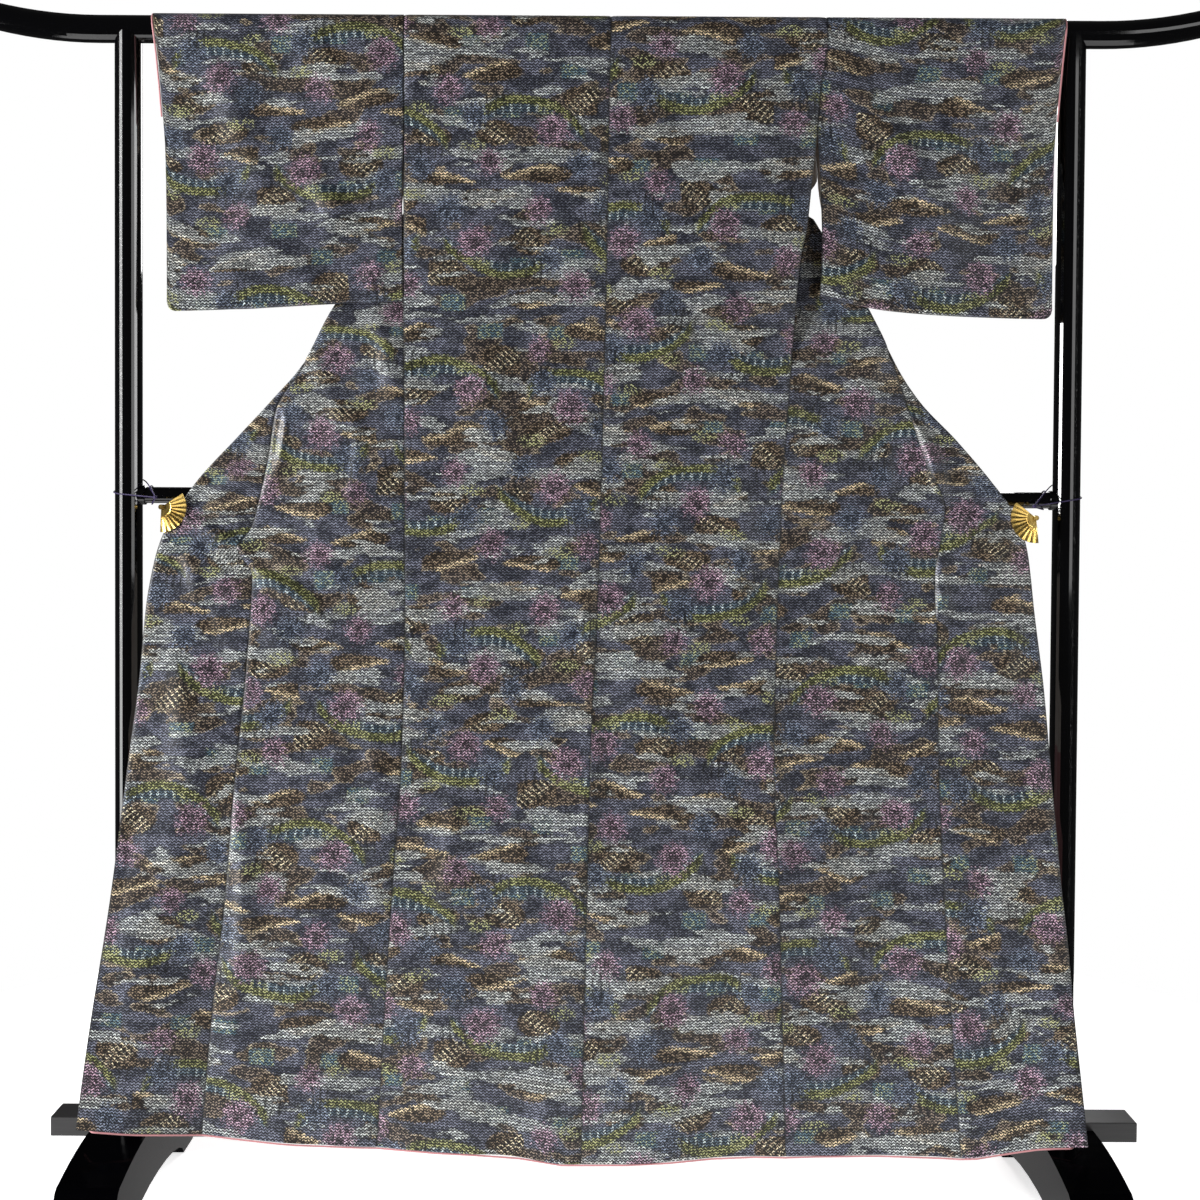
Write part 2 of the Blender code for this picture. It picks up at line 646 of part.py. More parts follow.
def build_feet(lacquer):
    outline = foot_outline()
    for side in (LEFT, RIGHT):
        bm = bmesh.new()
        face = bm.faces.new([bm.verts.new((-FOOT_WIDTH / 2, y, z)) for y, z in outline])
        moved = bmesh.ops.extrude_face_region(bm, geom=[face])
        verts = [item for item in moved["geom"] if isinstance(item, bmesh.types.BMVert)]
        bmesh.ops.translate(bm, verts=verts, vec=(FOOT_WIDTH, 0, 0))
        name = "foot_" + side_name(side)
        foot = add_object(name, mesh_from(bm, name), lacquer)
        foot.location.x = side * POST_X
        slot = box("rail_slot_cutter_" + side_name(side),
                   (FOOT_WIDTH + 0.02, RAIL_DEPTH + 2 * FIT, RAIL_HEIGHT + 2 * FIT + 0.02),
                   (side * POST_X, 0, RAIL_BOTTOM_Z + RAIL_HEIGHT / 2 + 0.01), lacquer)
        cut(foot, slot)


def build_stand():
    lacquer = material("black_lacquer", LACQUER, 0.10)
    build_top_bar(lacquer)
    build_posts(lacquer)
    build_rung(lacquer)
    box("base_rail", (2 * RAIL_HALF_LENGTH, RAIL_DEPTH, RAIL_HEIGHT),
        (0, 0, RAIL_BOTTOM_Z + RAIL_HEIGHT / 2), lacquer, bevel=0.0015)
    build_feet(lacquer)


def tube(name, points, radius, made, sides=8):
    """A cord along points, its rings turned with the route."""
    bm = bmesh.new()
    pts = [Vector(p) for p in points]
    normal = Vector((0, 0, 1))
    rings = []
    for i, point in enumerate(pts):
        way = (pts[min(i + 1, len(pts) - 1)] - pts[max(i - 1, 0)]).normalized()
        normal = (normal - way * normal.dot(way)).normalized()
        other = way.cross(normal)
        rings.append([bm.verts.new(point + (normal * math.cos(2 * math.pi * k / sides)
                                            + other * math.sin(2 * math.pi * k / sides)) * radius)
                      for k in range(sides)])
    for a, b in zip(rings, rings[1:]):
        for k in range(sides):
            bm.faces.new((a[k], a[(k + 1) % sides], b[(k + 1) % sides], b[k]))
    bm.faces.new(rings[0][::-1])
    bm.faces.new(rings[-1])
    return add_object(name, mesh_from(bm, name), made)


def smooth_route(points, steps=3):
    """Catmull-Rom points through a short list of route points."""
    pts = [Vector(p) for p in points]
    padded = [pts[0] * 2 - pts[1]] + pts + [pts[-1] * 2 - pts[-2]]
    route = []
    for i in range(1, len(padded) - 2):
        a, b, c, d = padded[i - 1:i + 3]
        for k in range(steps):
            t = k / steps
            route.append(0.5 * ((2 * b) + (c - a) * t + (2 * a - 5 * b + 4 * c - d) * t * t
                                + (3 * b - a - 3 * c + d) * t ** 3))
    route.append(pts[-1])
    return route


# Fans: pivot from the middle and above the floor, and the sector's two edges in degrees,
# measured up from the line that points at the cloth
FANS = ("side pivot_x pivot_z upper lower", (
    (LEFT, 0.615, 0.990, 33, -92), (RIGHT, 0.618, 0.982, 38, -96)))
FAN_RADIUS = 0.0355
FAN_PLEATS = 10
FAN_Y = -0.0345
FAN_WALL = 0.0011
JAW_Y = -0.0225
KNOTS = {LEFT: Vector((-0.6235, -0.0345, 1.0035)), RIGHT: Vector((0.6155, -0.0345, 0.9985))}
CORD_RADIUS = 0.0009


def fan_point(side, radius, angle, y):
    pivot_x, pivot_z = next(row[1:3] for row in FANS[1] if row[0] == side)
    return Vector((side * (pivot_x - radius * math.cos(angle)), y, pivot_z + radius * math.sin(angle)))


def fan_sheet(side, upper, lower, radii, pleat, y, columns):
    """A sector of folded sheet, from radii (r, share of the pleats' depth)."""
    grid = []
    for radius, share in radii:
        row = []
        for k in range(columns + 1):
            angle = math.radians(upper + (lower - upper) * k / columns)
            wave = pleat * share * (1 if k % 2 else -1)
            row.append(fan_point(side, radius, angle, y + wave))
        grid.append(row)
    return np.array(grid)


def thicken(grid, thickness):
    normals = grid_normals(grid)
    rows, columns = grid.shape[:2]
    bm = bmesh.new()
    layers = []
    for offset in (thickness / 2, -thickness / 2):
        points = grid + normals * offset
        layers.append([[bm.verts.new(points[i, j]) for j in range(columns)] for i in range(rows)])
    top, base = layers
    for i in range(rows - 1):
        for j in range(columns - 1):
            bm.faces.new((top[i][j], top[i + 1][j], top[i + 1][j + 1], top[i][j + 1]))
            bm.faces.new((base[i][j], base[i][j + 1], base[i + 1][j + 1], base[i + 1][j]))
    rim = [(0, j) for j in range(columns)] + [(i, columns - 1) for i in range(1, rows)]
    rim += [(rows - 1, j) for j in range(columns - 2, -1, -1)] + [(i, 0) for i in range(rows - 2, 0, -1)]
    for a, b in zip(rim, rim[1:] + rim[:1]):
        bm.faces.new((top[a[0]][a[1]], top[b[0]][b[1]], base[b[0]][b[1]], base[a[0]][a[1]]))
    return bm


def build_clips():
    """Each clip: a pleated gilt fan in front, a plain jaw behind and the pin that joins them."""
    gilt = material("gilt_fan", (0.830, 0.560, 0.160), 0.28, 1.0)
    for side, pivot_x, pivot_z, upper, lower in FANS[1]:
        name = "clip_" + side_name(side)
        radii = ((0.0030, 0.0), (0.0130, 0.0), (0.0145, 0.7), (0.0240, 0.9), (FAN_RADIUS, 1.0))
        bm = thicken(fan_sheet(side, upper, lower, radii, 0.0008, FAN_Y, 2 * FAN_PLEATS), FAN_WALL)
        bmesh.ops.triangulate(bm, faces=bm.faces)
        fan = add_object(name, mesh_from(bm, name), gilt)
        jaw_radii = ((0.0020, 0.0), (0.0150, 0.0), (0.0300, 0.0))
        bm = thicken(fan_sheet(side, 5, -40, jaw_radii, 0.0, JAW_Y, 4), FAN_WALL)
        jaw = add_object("jaw_" + side_name(side), mesh_from(bm, "jaw"), gilt)
        pin = cylinder("pin_" + side_name(side), 0.0036, FAN_Y - JAW_Y - 0.0060,
                       (side * pivot_x, (FAN_Y + JAW_Y) / 2, pivot_z), gilt, sides=16)
        pin.rotation_euler.x = math.pi / 2
        cut(fan, jaw, "UNION")
        cut(fan, pin, "UNION")


def loop_points(side, which):
    """Route of one strand from the knot round the rung or the post and back to the knot."""
    knot = KNOTS[side]
    reach = CORD_RADIUS + 0.0006
    points = [knot]
    if which == "rung":
        x = side * 0.637
        around = RUNG_RADIUS + reach
        for degrees in (62, 95, 130, 165, 200, 235, 272):
            turn = math.radians(degrees)
            points.append(Vector((x, -around * math.cos(turn), RUNG_Z + around * math.sin(turn))))
        return points + [knot + Vector((0, 0.0004, -0.0012))]
    around = POST_RADIUS + reach
    for degrees, height in ((-104, 1.008), (-130, 1.009), (-165, 1.011), (160, 1.014), (125, 1.019),
                            (90, 1.024), (60, 1.028), (35, 1.029)):
        turn = math.radians(degrees)
        points.append(Vector((side * (POST_X - around * math.cos(turn)), around * math.sin(turn), height)))
    points.append(Vector((side * 0.6405, -0.0085, 1.0225)))
    return points + [knot + Vector((0, 0, 0.0014))]


def build_cords():
    """A thin purple cord on each side ties the clip to the rung and to the post."""
    dyed = material("purple_cord", (0.085, 0.030, 0.170), 0.60)
    for side in (LEFT, RIGHT):
        name = "cord_" + side_name(side)
        bm = bmesh.new()
        bmesh.ops.create_icosphere(bm, subdivisions=2, radius=0.0030)
        knot = add_object(name, mesh_from(bm, name), dyed)
        knot.location = KNOTS[side]
        for which in ("rung", "post"):
            strand = tube("strand_%s_%s" % (which, side_name(side)),
                          smooth_route(loop_points(side, which)), CORD_RADIUS, dyed)
            cut(knot, strand, "UNION")


# ---- the cloth's pieces ----------------------------------------------------------------
def edging(name, rows, made):
    """A narrow turned edge of lining: rows of its section's four corners, in order."""
    bm = bmesh.new()
    rings = [[bm.verts.new(Vector(corner) * MM) for corner in row] for row in rows]
    for a, b in zip(rings, rings[1:]):
        for k in range(4):
            bm.faces.new((a[k], a[(k + 1) % 4], b[(k + 1) % 4], b[k]))
    bm.faces.new(rings[0][::-1])
    bm.faces.new(rings[-1])
    bmesh.ops.triangulate(bm, faces=bm.faces)
    return add_object(name, mesh_from(bm, name), made)


def hem_edge_rows():
    """Section corners of the hem's edging from the left front edge to the right one."""
    line = []
    for side in (LEFT, RIGHT):
        half = [(side * x, y) for x, y in front_row(side, HEM_DROP)]
        half += [(side * x, y) for x, y in overlap_row(side, HEM_DROP)[1:-1]]
        half.append((side * column(OUTER, side_name(side), HEM_DROP), column(DEPTH, "shown", HEM_DROP)))
        back = [(x, column(DEPTH, "back", HEM_DROP)) for x in (side * 225, side * 165, side * 105, side * 45)]
        line += (back[::-1] + half)[::-1] if side == LEFT else back[::-1] + half
    rows = []
    for x, y in line:
        x, y, z = place(x, y, HEM_DROP)
        y += 0.3
        rows.append(((x, y - EDGE_WALL / 2, z - 0.8), (x, y + EDGE_WALL / 2, z - 0.8),
                     (x, y + EDGE_WALL / 2, z - 0.8 - EDGE_SHOWS),
                     (x, y - EDGE_WALL / 2, z - 0.8 - EDGE_SHOWS)))
    return rows


def cuff_edge_rows(side):
    """Section corners of the wrist opening's edging, from its front end over the bar to the back."""
    ring = sleeve_grid(side)[-1]
    line = [Vector(point) for point in ring[SEWN_POINTS + 1:-SEWN_POINTS]]
    rows = []
    for i, point in enumerate(line):
        way = line[min(i + 1, len(line) - 1)] - line[max(i - 1, 0)]
        away = Vector((side, 0, 0))
        across = way.cross(away).normalized() * EDGE_WALL / 2
        near = point + away * 0.5
        far = point + away * (0.5 + EDGE_SHOWS)
        rows.append((near + across, near - across, far - across, far + across))
    return rows


def build_cloth():
    silk = material("figured_silk", CLOTH_COLOUR, 0.55)
    lining = material("lining_silk", LINING_COLOUR, 0.50)
    for side in (LEFT, RIGHT):
        name = side_name(side)
        cloth("back_" + name, back_panel(side), silk)
        cloth("front_" + name, front_grid(side), silk)
        cloth("okumi_" + name, overlap_grid(side), silk)
        cloth("sleeve_" + name, sleeve_grid(side), silk, ring=True, sewn=SEWN_POINTS)
        edging("cuff_edge_" + name, cuff_edge_rows(side), lining)
    cloth("collar", collar_grid(), silk)
    edging("hem_edge", hem_edge_rows(), lining)


# ---- build -----------------------------------------------------------------------------
for old in list(bpy.data.objects):
    bpy.data.objects.remove(old)
build_stand()
build_clips()
build_cords()
build_cloth()
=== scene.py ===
"""A lined silk kimono spread over a black lacquered stand: the looks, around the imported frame."""
import math

import bmesh
import bpy
import numpy as np
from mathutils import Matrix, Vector


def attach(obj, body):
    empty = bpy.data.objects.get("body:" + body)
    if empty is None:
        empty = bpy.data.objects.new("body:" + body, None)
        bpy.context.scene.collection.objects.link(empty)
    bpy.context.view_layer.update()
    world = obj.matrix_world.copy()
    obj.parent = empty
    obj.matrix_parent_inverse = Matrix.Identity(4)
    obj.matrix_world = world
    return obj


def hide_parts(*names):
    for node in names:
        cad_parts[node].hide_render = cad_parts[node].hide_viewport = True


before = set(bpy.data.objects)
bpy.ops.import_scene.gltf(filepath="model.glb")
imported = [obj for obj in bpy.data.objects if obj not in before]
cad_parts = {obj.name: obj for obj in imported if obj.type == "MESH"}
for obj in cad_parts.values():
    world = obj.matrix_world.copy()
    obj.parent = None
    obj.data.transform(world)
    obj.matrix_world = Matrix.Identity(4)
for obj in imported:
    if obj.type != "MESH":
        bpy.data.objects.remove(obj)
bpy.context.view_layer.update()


def linked(name, data):
    body = bpy.data.objects.new(name, data)
    bpy.context.scene.collection.objects.link(body)
    return body


# ---- camera ----------------------------------------------------------------------------
camera_data = bpy.data.cameras.new("camera")
camera_data.sensor_width = 36.0
camera_data.lens = 50.34
camera_data.shift_x = 0.010
camera_data.shift_y = -0.040
camera = linked("camera", camera_data)
camera.location = (-0.0136, -2.4, 0.988)
camera.rotation_euler = (math.radians(90 - 1.4), math.radians(-0.35), 0)
bpy.context.scene.camera = camera

MM = 0.001          # the tables are in millimetres
LEFT, RIGHT = -1, 1
BAR_RADIUS = 0.01925
BAR_CENTRE_Z = 1.668

# ---- the cloth -------------------------------------------------------------------------
DRAPE_RADIUS = BAR_RADIUS + 0.00225      # middle of the cloth over the bar
TOP_Z = BAR_CENTRE_Z + DRAPE_RADIUS
BAR_QUARTER = DRAPE_RADIUS / MM * math.pi / 2      # length of cloth from the bar's top to its side
PATH_LESS_DROP = BAR_QUARTER - DRAPE_RADIUS / MM   # path past the bar's top less height below it
HEM_DROP = 1600.0
SHOULDER_PATH = 50.0         # how far past the bar's top the shoulder line lies, on the hidden side
NECK_PATH = 24.0             # the same for the neck seam at the middle of the back
NECK_HALF_WIDTH = 110.0
NECK_STEPS = 7               # points of the neck seam's line on each half of the back
COLLAR_WIDTH = 55.0
COLLAR_EASE = 55.0           # length over which the collar's band turns at the neck
SLEEVE_CORNER = 13.0         # radius of the sleeve's lower corner
SLEEVE_TURN = 7.0            # height of the fold along the sleeve's bottom
SLEEVE_SEWN_TO = (226, 250)  # drops over which the front's edge leaves the sleeve for the side seam
CROSSING_GAP = 0.9           # added where the overlap's seam passes round the outer fold
FOLD_STARTS = 256.0          # drop at which the front panel starts to show beyond the back
CLIP_DROP = 688.0
TURN = 27.0                  # drop over which a folded edge opens flat
EVENS_OUT = 260.0            # drop over which the columns of an opened row become even
FLAT_END = (6.0, 4.0)        # lengths that the turn and what lies behind it keep when flat
CROWDED = (8.0, 20.0)        # where the same two end on a row above the first fold
HIDDEN_SHARES = (0.12, 0.36) # the same two on a hidden overlap, as shares of its width
FRONT_COLUMNS = (3, 4, 4)    # columns before the fold, round it and behind it
OVERLAP_COLUMNS = (2, 4, 2)
EDGE_SHOWS = 2.6             # how far the lining's turned edge shows past the hem and the cuffs
EDGE_WALL = 1.6
HEM_EDGE_GAP = 0.8           # from the hem to the edging's upper side
CUFF_EDGE_GAP = 0.5

# Middle of the back: drop below the bar's top, and how far the seam has wandered to +X
CENTRE = ("drop x", (
    (0, 15), (120, 13), (400, 10), (820, 1), (1050, -8), (1600, -18)))

# Body's side edge: the sleeve seam, the open slit under it and then the side seam
SIDE = ("drop left right", (
    (0, 278, 320), (38, 278, 320), (105, 277, 311), (160, 277, 307), (240, 277, 299), (300, 276, 293),
    (345, 276, 284),
    (400, 276, 279), (540, 274, 269), (660, 273, 261), (890, 271, 253), (1050, 274, 250),
    (1210, 284, 257), (1370, 293, 262), (1600, 304, 268)))

# Outermost line of the opened fronts: a fold down to the clip, then the front edge
OUTER = ("drop left right", (
    (280, 283, 303), (350, 331, 346), (415, 378, 385), (500, 422, 426), (545, 460, 456), (600, 510, 508),
    (660, 564, 557), (700, 592, 586), (740, 615, 604), (785, 627, 611), (840, 636, 617),
    (950, 645, 630), (1050, 657, 638), (1200, 673, 649), (1310, 686, 660), (1420, 698, 667),
    (1600, 712, 679)))

# Seam between front and overlap panel, from its hidden tip on the collar seam down to the hem
OVERLAP_SEAM = ("drop left right", (
    (254, 226, 226), (350, 298, 300), (430, 358, 364), (480, 400, 411), (505, 419, 422), (562, 456, 441),
    (630, 466, 463), (700, 481, 490), (730, 490, 486), (757, 508, 481), (775, 498, 478), (796, 487, 476),
    (930, 494, 481), (1045, 505, 482), (1240, 520, 490), (1400, 535, 499), (1600, 547, 510)))
OVERLAP_TIP_DROP = 254.0
# Drop at which that seam comes round the outer fold into view
SEAM_TURNS = {LEFT: 504.0, RIGHT: 479.0}

# Collar seam, on the hidden side down to the clip and on the outer line below it
COLLAR_SEAM = ("drop left right", (
    (40, 110, 110), (110, 148, 148), (180, 186, 186), (254, 226, 226), (340, 274, 274), (430, 330, 330),
    (490, 372, 372), (560, 428, 428), (620, 488, 482), (665, 545, 538), (700, 590, 584),
    (740, 613, 602), (785, 625, 609)))

# Depth of the hanging layers (+Y is the hidden side): back, side edge of the front, the layer
# that shows, its outer edge, the layer folded behind it, the sleeve's hidden half, and how far
# the slack of the front bulges out behind
DEPTH = ("drop back edge shown outer hidden sleeve bulge", (
    (20, -21.5, 21.5, 13.5, 13.5, 21.5, 21.5, 0), (90, -22, 17, 12, 12, 20, 17, 10),
    (150, -22.5, 12, 9, 9, 17, 12, 22), (230, -23.5, 4, 4, 4, 12, 1, 26),
    (280, -24, 1, 1, 1, 9, -3, 20), (350, -25, -5, -5, -5, 3, -9.5, 10),
    (420, -26, -10, -10, -10, -2, -14, 5), (460, -26.5, -20, -14, -14, -6, -14, 2),
    (520, -27.5, -27.5, -19, -19, -11, -14, 0), (600, -29, -29, -24.5, -24.5, -16.5, -14, 0),
    (680, -30, -30, -29.5, -29.5, -26.3, -14, 0), (800, -35, -35, -35, -35, -31.8, -14, 0),
    (1050, -45, -45, -46, -50, -43, -14, 0), (1400, -60, -60, -64, -84, -63, -14, 0),
    (1600, -73, -73, -85, -115, -85, -14, 0)))

# Drop of the hem: across the skirt from the left front edge to the right one
HEM = ("x drop", (
    (-712, 1556), (-547, 1573), (-304, 1594), (-136, 1602), (-18, 1615), (60, 1613), (266, 1601),
    (510, 1597), (575, 1587), (628, 1577), (680, 1571)))

# Soft folds that run down the skirt: where they meet the hem, their half width, how far they
# stand out there, and the drop at which they start
SKIRT_FOLDS = ("x spread stand start", (
    (-640, 38, -5, 900), (-545, 30, 5, 820), (-430, 46, -6, 980), (-300, 30, 4, 700),
    (-190, 52, -6, 900), (-60, 34, -6, 560), (70, 44, -5, 1000), (180, 50, 5, 1100),
    (268, 30, -5, 760), (400, 50, 5, 900), (520, 28, -6, 800), (610, 40, 5, 1000)))

# Sleeve: outer edge, and bottom edge from the body (0) to the wrist (1)
WRIST = ("drop left right", (
    (0, 632, 656), (60, 624, 650), (145, 616, 643), (200, 612, 640), (300, 610, 639), (430, 609, 639)))
SLEEVE_INNER = ("drop left right", (
    (0, 278, 320), (38, 278, 320), (105, 277, 311), (160, 277, 307), (240, 278, 311), (320, 278, 314),
    (430, 276, 310)))
SLEEVE_BOTTOM = ("across left right", (
    (0.0, 406, 396), (0.3, 411, 416), (0.6, 417, 423), (1.0, 423, 427)))


def column(table, name, at):
    """One named column of a table, read at a value of its first column by a smooth curve."""
    heads = table[0].split()
    rows = table[1]
    k = heads.index(name)
    xs = [row[0] for row in rows]
    ys = [row[k] for row in rows]
    if at <= xs[0]:
        return ys[0]
    if at >= xs[-1]:
        return ys[-1]
    slopes = [(ys[i + 1] - ys[i]) / (xs[i + 1] - xs[i]) for i in range(len(xs) - 1)]
    i = max(j for j in range(len(xs) - 1) if xs[j] <= at)
    ends = []
    for j in (i, i + 1):
        before = slopes[max(j - 1, 0)]
        after = slopes[min(j, len(slopes) - 1)]
        ends.append(0.0 if before * after <= 0 else 2 * before * after / (before + after))
    width = xs[i + 1] - xs[i]
    t = (at - xs[i]) / width
    rise = t * t * (3 - 2 * t)
    return (ys[i] + (ys[i + 1] - ys[i]) * rise + ends[0] * width * t * (1 - t) ** 2
            - ends[1] * width * t * t * (1 - t))


def side_name(side):
    return "left" if side == LEFT else "right"


def ease(value, start, end):
    """0 before start, 1 after end, and a smooth step between."""
    t = min(max((value - start) / (end - start), 0.0), 1.0)
    return t * t * (3 - 2 * t)


def grid_normals(grid, ring=False):
    """Unit normals of a grid of points; a ring closes on itself along its second index."""
    along = np.gradient(grid, axis=0)
    if ring:
        across = (np.roll(grid, -1, axis=1) - np.roll(grid, 1, axis=1)) / 2
    else:
        across = np.gradient(grid, axis=1)
    normals = np.cross(along, across)
    return normals / np.linalg.norm(normals, axis=2, keepdims=True)


# ---- where the cloth lies --------------------------------------------------------------
def over_bar(path):
    """Depth and height of the cloth `path` past the bar's top, to the hidden side (+) or back."""
    radius = DRAPE_RADIUS / MM
    turn = min(abs(path), BAR_QUARTER) / radius
    depth = math.copysign(radius * math.sin(turn), path)
    height = BAR_CENTRE_Z / MM + radius * math.cos(turn) - max(abs(path) - BAR_QUARTER, 0.0)
    return depth, height


def folds(x, drop):
    """How far the skirt's soft folds push the cloth out at one place."""
    push = 0.0
    for at, spread, stand, start in SKIRT_FOLDS[1]:
        where = at * (0.90 + 0.10 * drop / HEM_DROP)
        push += stand * ease(drop, start, HEM_DROP + 150) * math.exp(-((x - where) / spread) ** 2)
    return push


def place(x, y, drop):
    """A point of the hanging cloth; towards the hem its height follows the hem's own line."""
    lower = ease(drop, 1250, HEM_DROP)
    sag = (column(HEM, "drop", x) - HEM_DROP) * lower
    return (x, y + folds(x, drop), TOP_Z / MM - drop - sag)


def neck_line(x):
    """How far past the bar's top the back panel ends: the neck seam, then the shoulder line."""
    return NECK_PATH + (SHOULDER_PATH - NECK_PATH) * min(abs(x) / NECK_HALF_WIDTH, 1.0) ** 2


def back_edges(side, drop):
    """Where a back panel starts and ends at one drop: the middle seam and the side edge."""
    return column(CENTRE, "x", drop), side * column(SIDE, side_name(side), drop)


class FoldedRow:
    """One level of a front and its overlap panel, as if on the right: the line they share.

    The line runs from the side edge out to the fold, round it and back behind to the collar
    seam. `turns` and `behind` are the lengths at which the fold starts and ends.
    """

    def __init__(self, side, drop):
        name = side_name(side)
        edge = column(SIDE, name, drop)
        sewn = 1 - ease(drop, *SLEEVE_SEWN_TO)
        edge += max(column(SLEEVE_INNER, name, drop) - column(SIDE, name, drop), 0.0) * sewn
        edge_y, shown_y, outer_y, hidden_y = (
            column(DEPTH, head, drop) for head in ("edge", "shown", "outer", "hidden"))
        seam_x = column(COLLAR_SEAM if drop < OVERLAP_TIP_DROP else OVERLAP_SEAM, name, drop)
        collar_x = column(COLLAR_SEAM, name, drop)
        self.drop = drop
        self.gap = 0.0
        line = [(edge, edge_y)]
        if drop <= FOLD_STARTS:
            line.append((min(seam_x, collar_x), hidden_y))
            self.turns, self.behind = CROWDED
            self.seam = math.dist(line[0], (seam_x, hidden_y))
            self.end = math.dist(*line)
        elif drop < FOLD_STARTS + TURN:
            heading = math.pi * (FOLD_STARTS + TURN - drop) / TURN
            radius = (hidden_y - edge_y) / 2
            self.turns = radius * math.tan(heading / 2)
            line.append((edge + self.turns * math.cos(heading), edge_y + self.turns * math.sin(heading)))
            line += arc(line[-1], radius, heading, math.pi)
            self.behind = self.turns + radius * (math.pi - heading)
            self.seam = self.behind + line[-1][0] - seam_x
            self.end = self.behind + line[-1][0] - collar_x
            line.append((collar_x, hidden_y))
        else:
            radius = (hidden_y - outer_y) / 2 * (1 - ease(drop, CLIP_DROP + TURN, CLIP_DROP + 3 * TURN))
            fold = column(OUTER, name, drop) - radius
            turn = SEAM_TURNS[side]
            off = max(turn - TURN - drop, drop - turn, 0.0)
            seam_x = fold + (min(seam_x, fold) - fold) * ease(off, 0, 1.5 * TURN)
            collar_x = fold + (min(collar_x, fold) - fold) * ease(CLIP_DROP - drop, 0, 1.5 * TURN)
            self.gap = CROSSING_GAP * (1 - ease(off, 0, TURN))
            if drop > turn:
                line.append((seam_x, shown_y))
                self.seam = math.dist(*line)
            line.append((fold, outer_y))
            self.turns = sum(math.dist(a, b) for a, b in zip(line, line[1:]))
            self.behind = self.turns + math.pi * radius
            if radius > 0:
                line += arc(line[-1], radius, 0.0, math.pi)
                line.append((min(collar_x, seam_x, fold - 1), hidden_y))
            if drop <= turn:
                self.seam = self.behind + fold - seam_x
                if drop > turn - TURN:
                    self.seam = self.turns + math.pi * radius * (turn - drop) / TURN
            self.end = self.behind + fold - collar_x
            if drop > CLIP_DROP:
                self.end = self.turns + math.pi * radius * max(CLIP_DROP + TURN - drop, 0.0) / TURN
        self.line = np.array(line)
        steps = np.linalg.norm(np.diff(self.line, axis=0), axis=1)
        self.along = np.concatenate(([0.0], np.cumsum(steps)))

    def points(self, at, bulges=True):
        """Points at lengths along the row; the slack of the front's hidden layer bulges out."""
        xs = np.interp(at, self.along, self.line[:, 0])
        ys = np.interp(at, self.along, self.line[:, 1])
        slack = 0.75 * (self.seam - self.behind)
        if bulges and slack > 0:
            share = np.clip((np.array(at) - self.behind) / slack, 0.0, 1.0)
            bulge = min(column(DEPTH, "bulge", self.drop), 0.4 * slack)
            ys = ys + bulge * np.sin(math.pi * share) ** 2
        return list(zip(xs.tolist(), ys.tolist()))


def arc(start, radius, heading, end, count=12):
    """Points of a turn to the left, after its start."""
    centre_x = start[0] - radius * math.sin(heading)
    centre_y = start[1] + radius * math.cos(heading)
    angles = [heading + (end - heading) * k / count for k in range(1, count + 1)]
    return [(centre_x + radius * math.sin(a), centre_y - radius * math.cos(a)) for a in angles]


def spaced(stops, counts, even):
    """Lengths of a row's columns: `counts` between the stops, shifted by `even` to equal steps."""
    bounds = np.cumsum((0, *counts))
    steps = np.arange(bounds[-1] + 1)
    crowded = np.interp(steps, bounds, stops)
    equal = stops[0] + (stops[-1] - stops[0]) * steps / bounds[-1]
    return crowded + (equal - crowded) * even


def front_row(side, drop, counts=FRONT_COLUMNS, keep=None):
    """One level of a front panel, from its side edge to its inner edge. `keep` is the room
    for extra columns at both seams, if there are any."""
    row = FoldedRow(side, drop)
    behind = min(row.behind, row.seam - FLAT_END[1])
    turns = min(row.turns, behind - FLAT_END[0])
    turn = SEAM_TURNS[side]
    at = spaced((0.0, turns, behind, row.seam), counts, ease(drop, turn, turn + EVENS_OUT))
    return row.points(with_seam_columns(at, keep) if keep else at)


def overlap_row(side, drop, counts=OVERLAP_COLUMNS, keep=None):
    """One level of an overlap panel, from its seam with the front to its front edge."""
    row = FoldedRow(side, drop)
    start = row.seam + row.gap
    turns = max(row.turns, start + FLAT_END[0])
    behind = max(row.behind, turns + FLAT_END[0])
    behind = min(behind, row.end - FLAT_END[1])
    turns = min(turns, behind - FLAT_END[0])
    if drop <= SEAM_TURNS[side] - TURN:
        turns, behind = (start + share * (row.end - start) for share in HIDDEN_SHARES)
    even = ease(drop, CLIP_DROP + TURN, CLIP_DROP + TURN + EVENS_OUT)
    at = spaced((start, turns, behind, row.end), counts, even)
    return row.points(with_seam_columns(at, keep) if keep else at, bulges=False)


def collar_line():
    """The collar seam laid flat, as (side to side, path past the bar's top), left end to right."""
    drops = [785, 757, 720, 685, 655, 630, 600, 575, 532, 504, 480, 445, 415, 380, 340, 300, 250,
             205, 150, 105, 65, 49]
    half = {}
    for side in (LEFT, RIGHT):
        name = side_name(side)
        leg = []
        for drop in drops:
            x = column(COLLAR_SEAM, name, drop)
            if drop > CLIP_DROP:
                x = column(OUTER, name, drop) - 2.0
            leg.append((side * (x - 0.5 if drop > 55 else x), drop + PATH_LESS_DROP))
        half[side] = leg
    halves = [np.linspace(*back_edges(side, 0), NECK_STEPS)[::side] for side in (LEFT, RIGHT)]
    across = np.concatenate(halves)
    neck = [(x, neck_line(x) + 0.45) for x in across if abs(x) < NECK_HALF_WIDTH - 4]
    return half[LEFT] + neck + half[RIGHT][::-1]


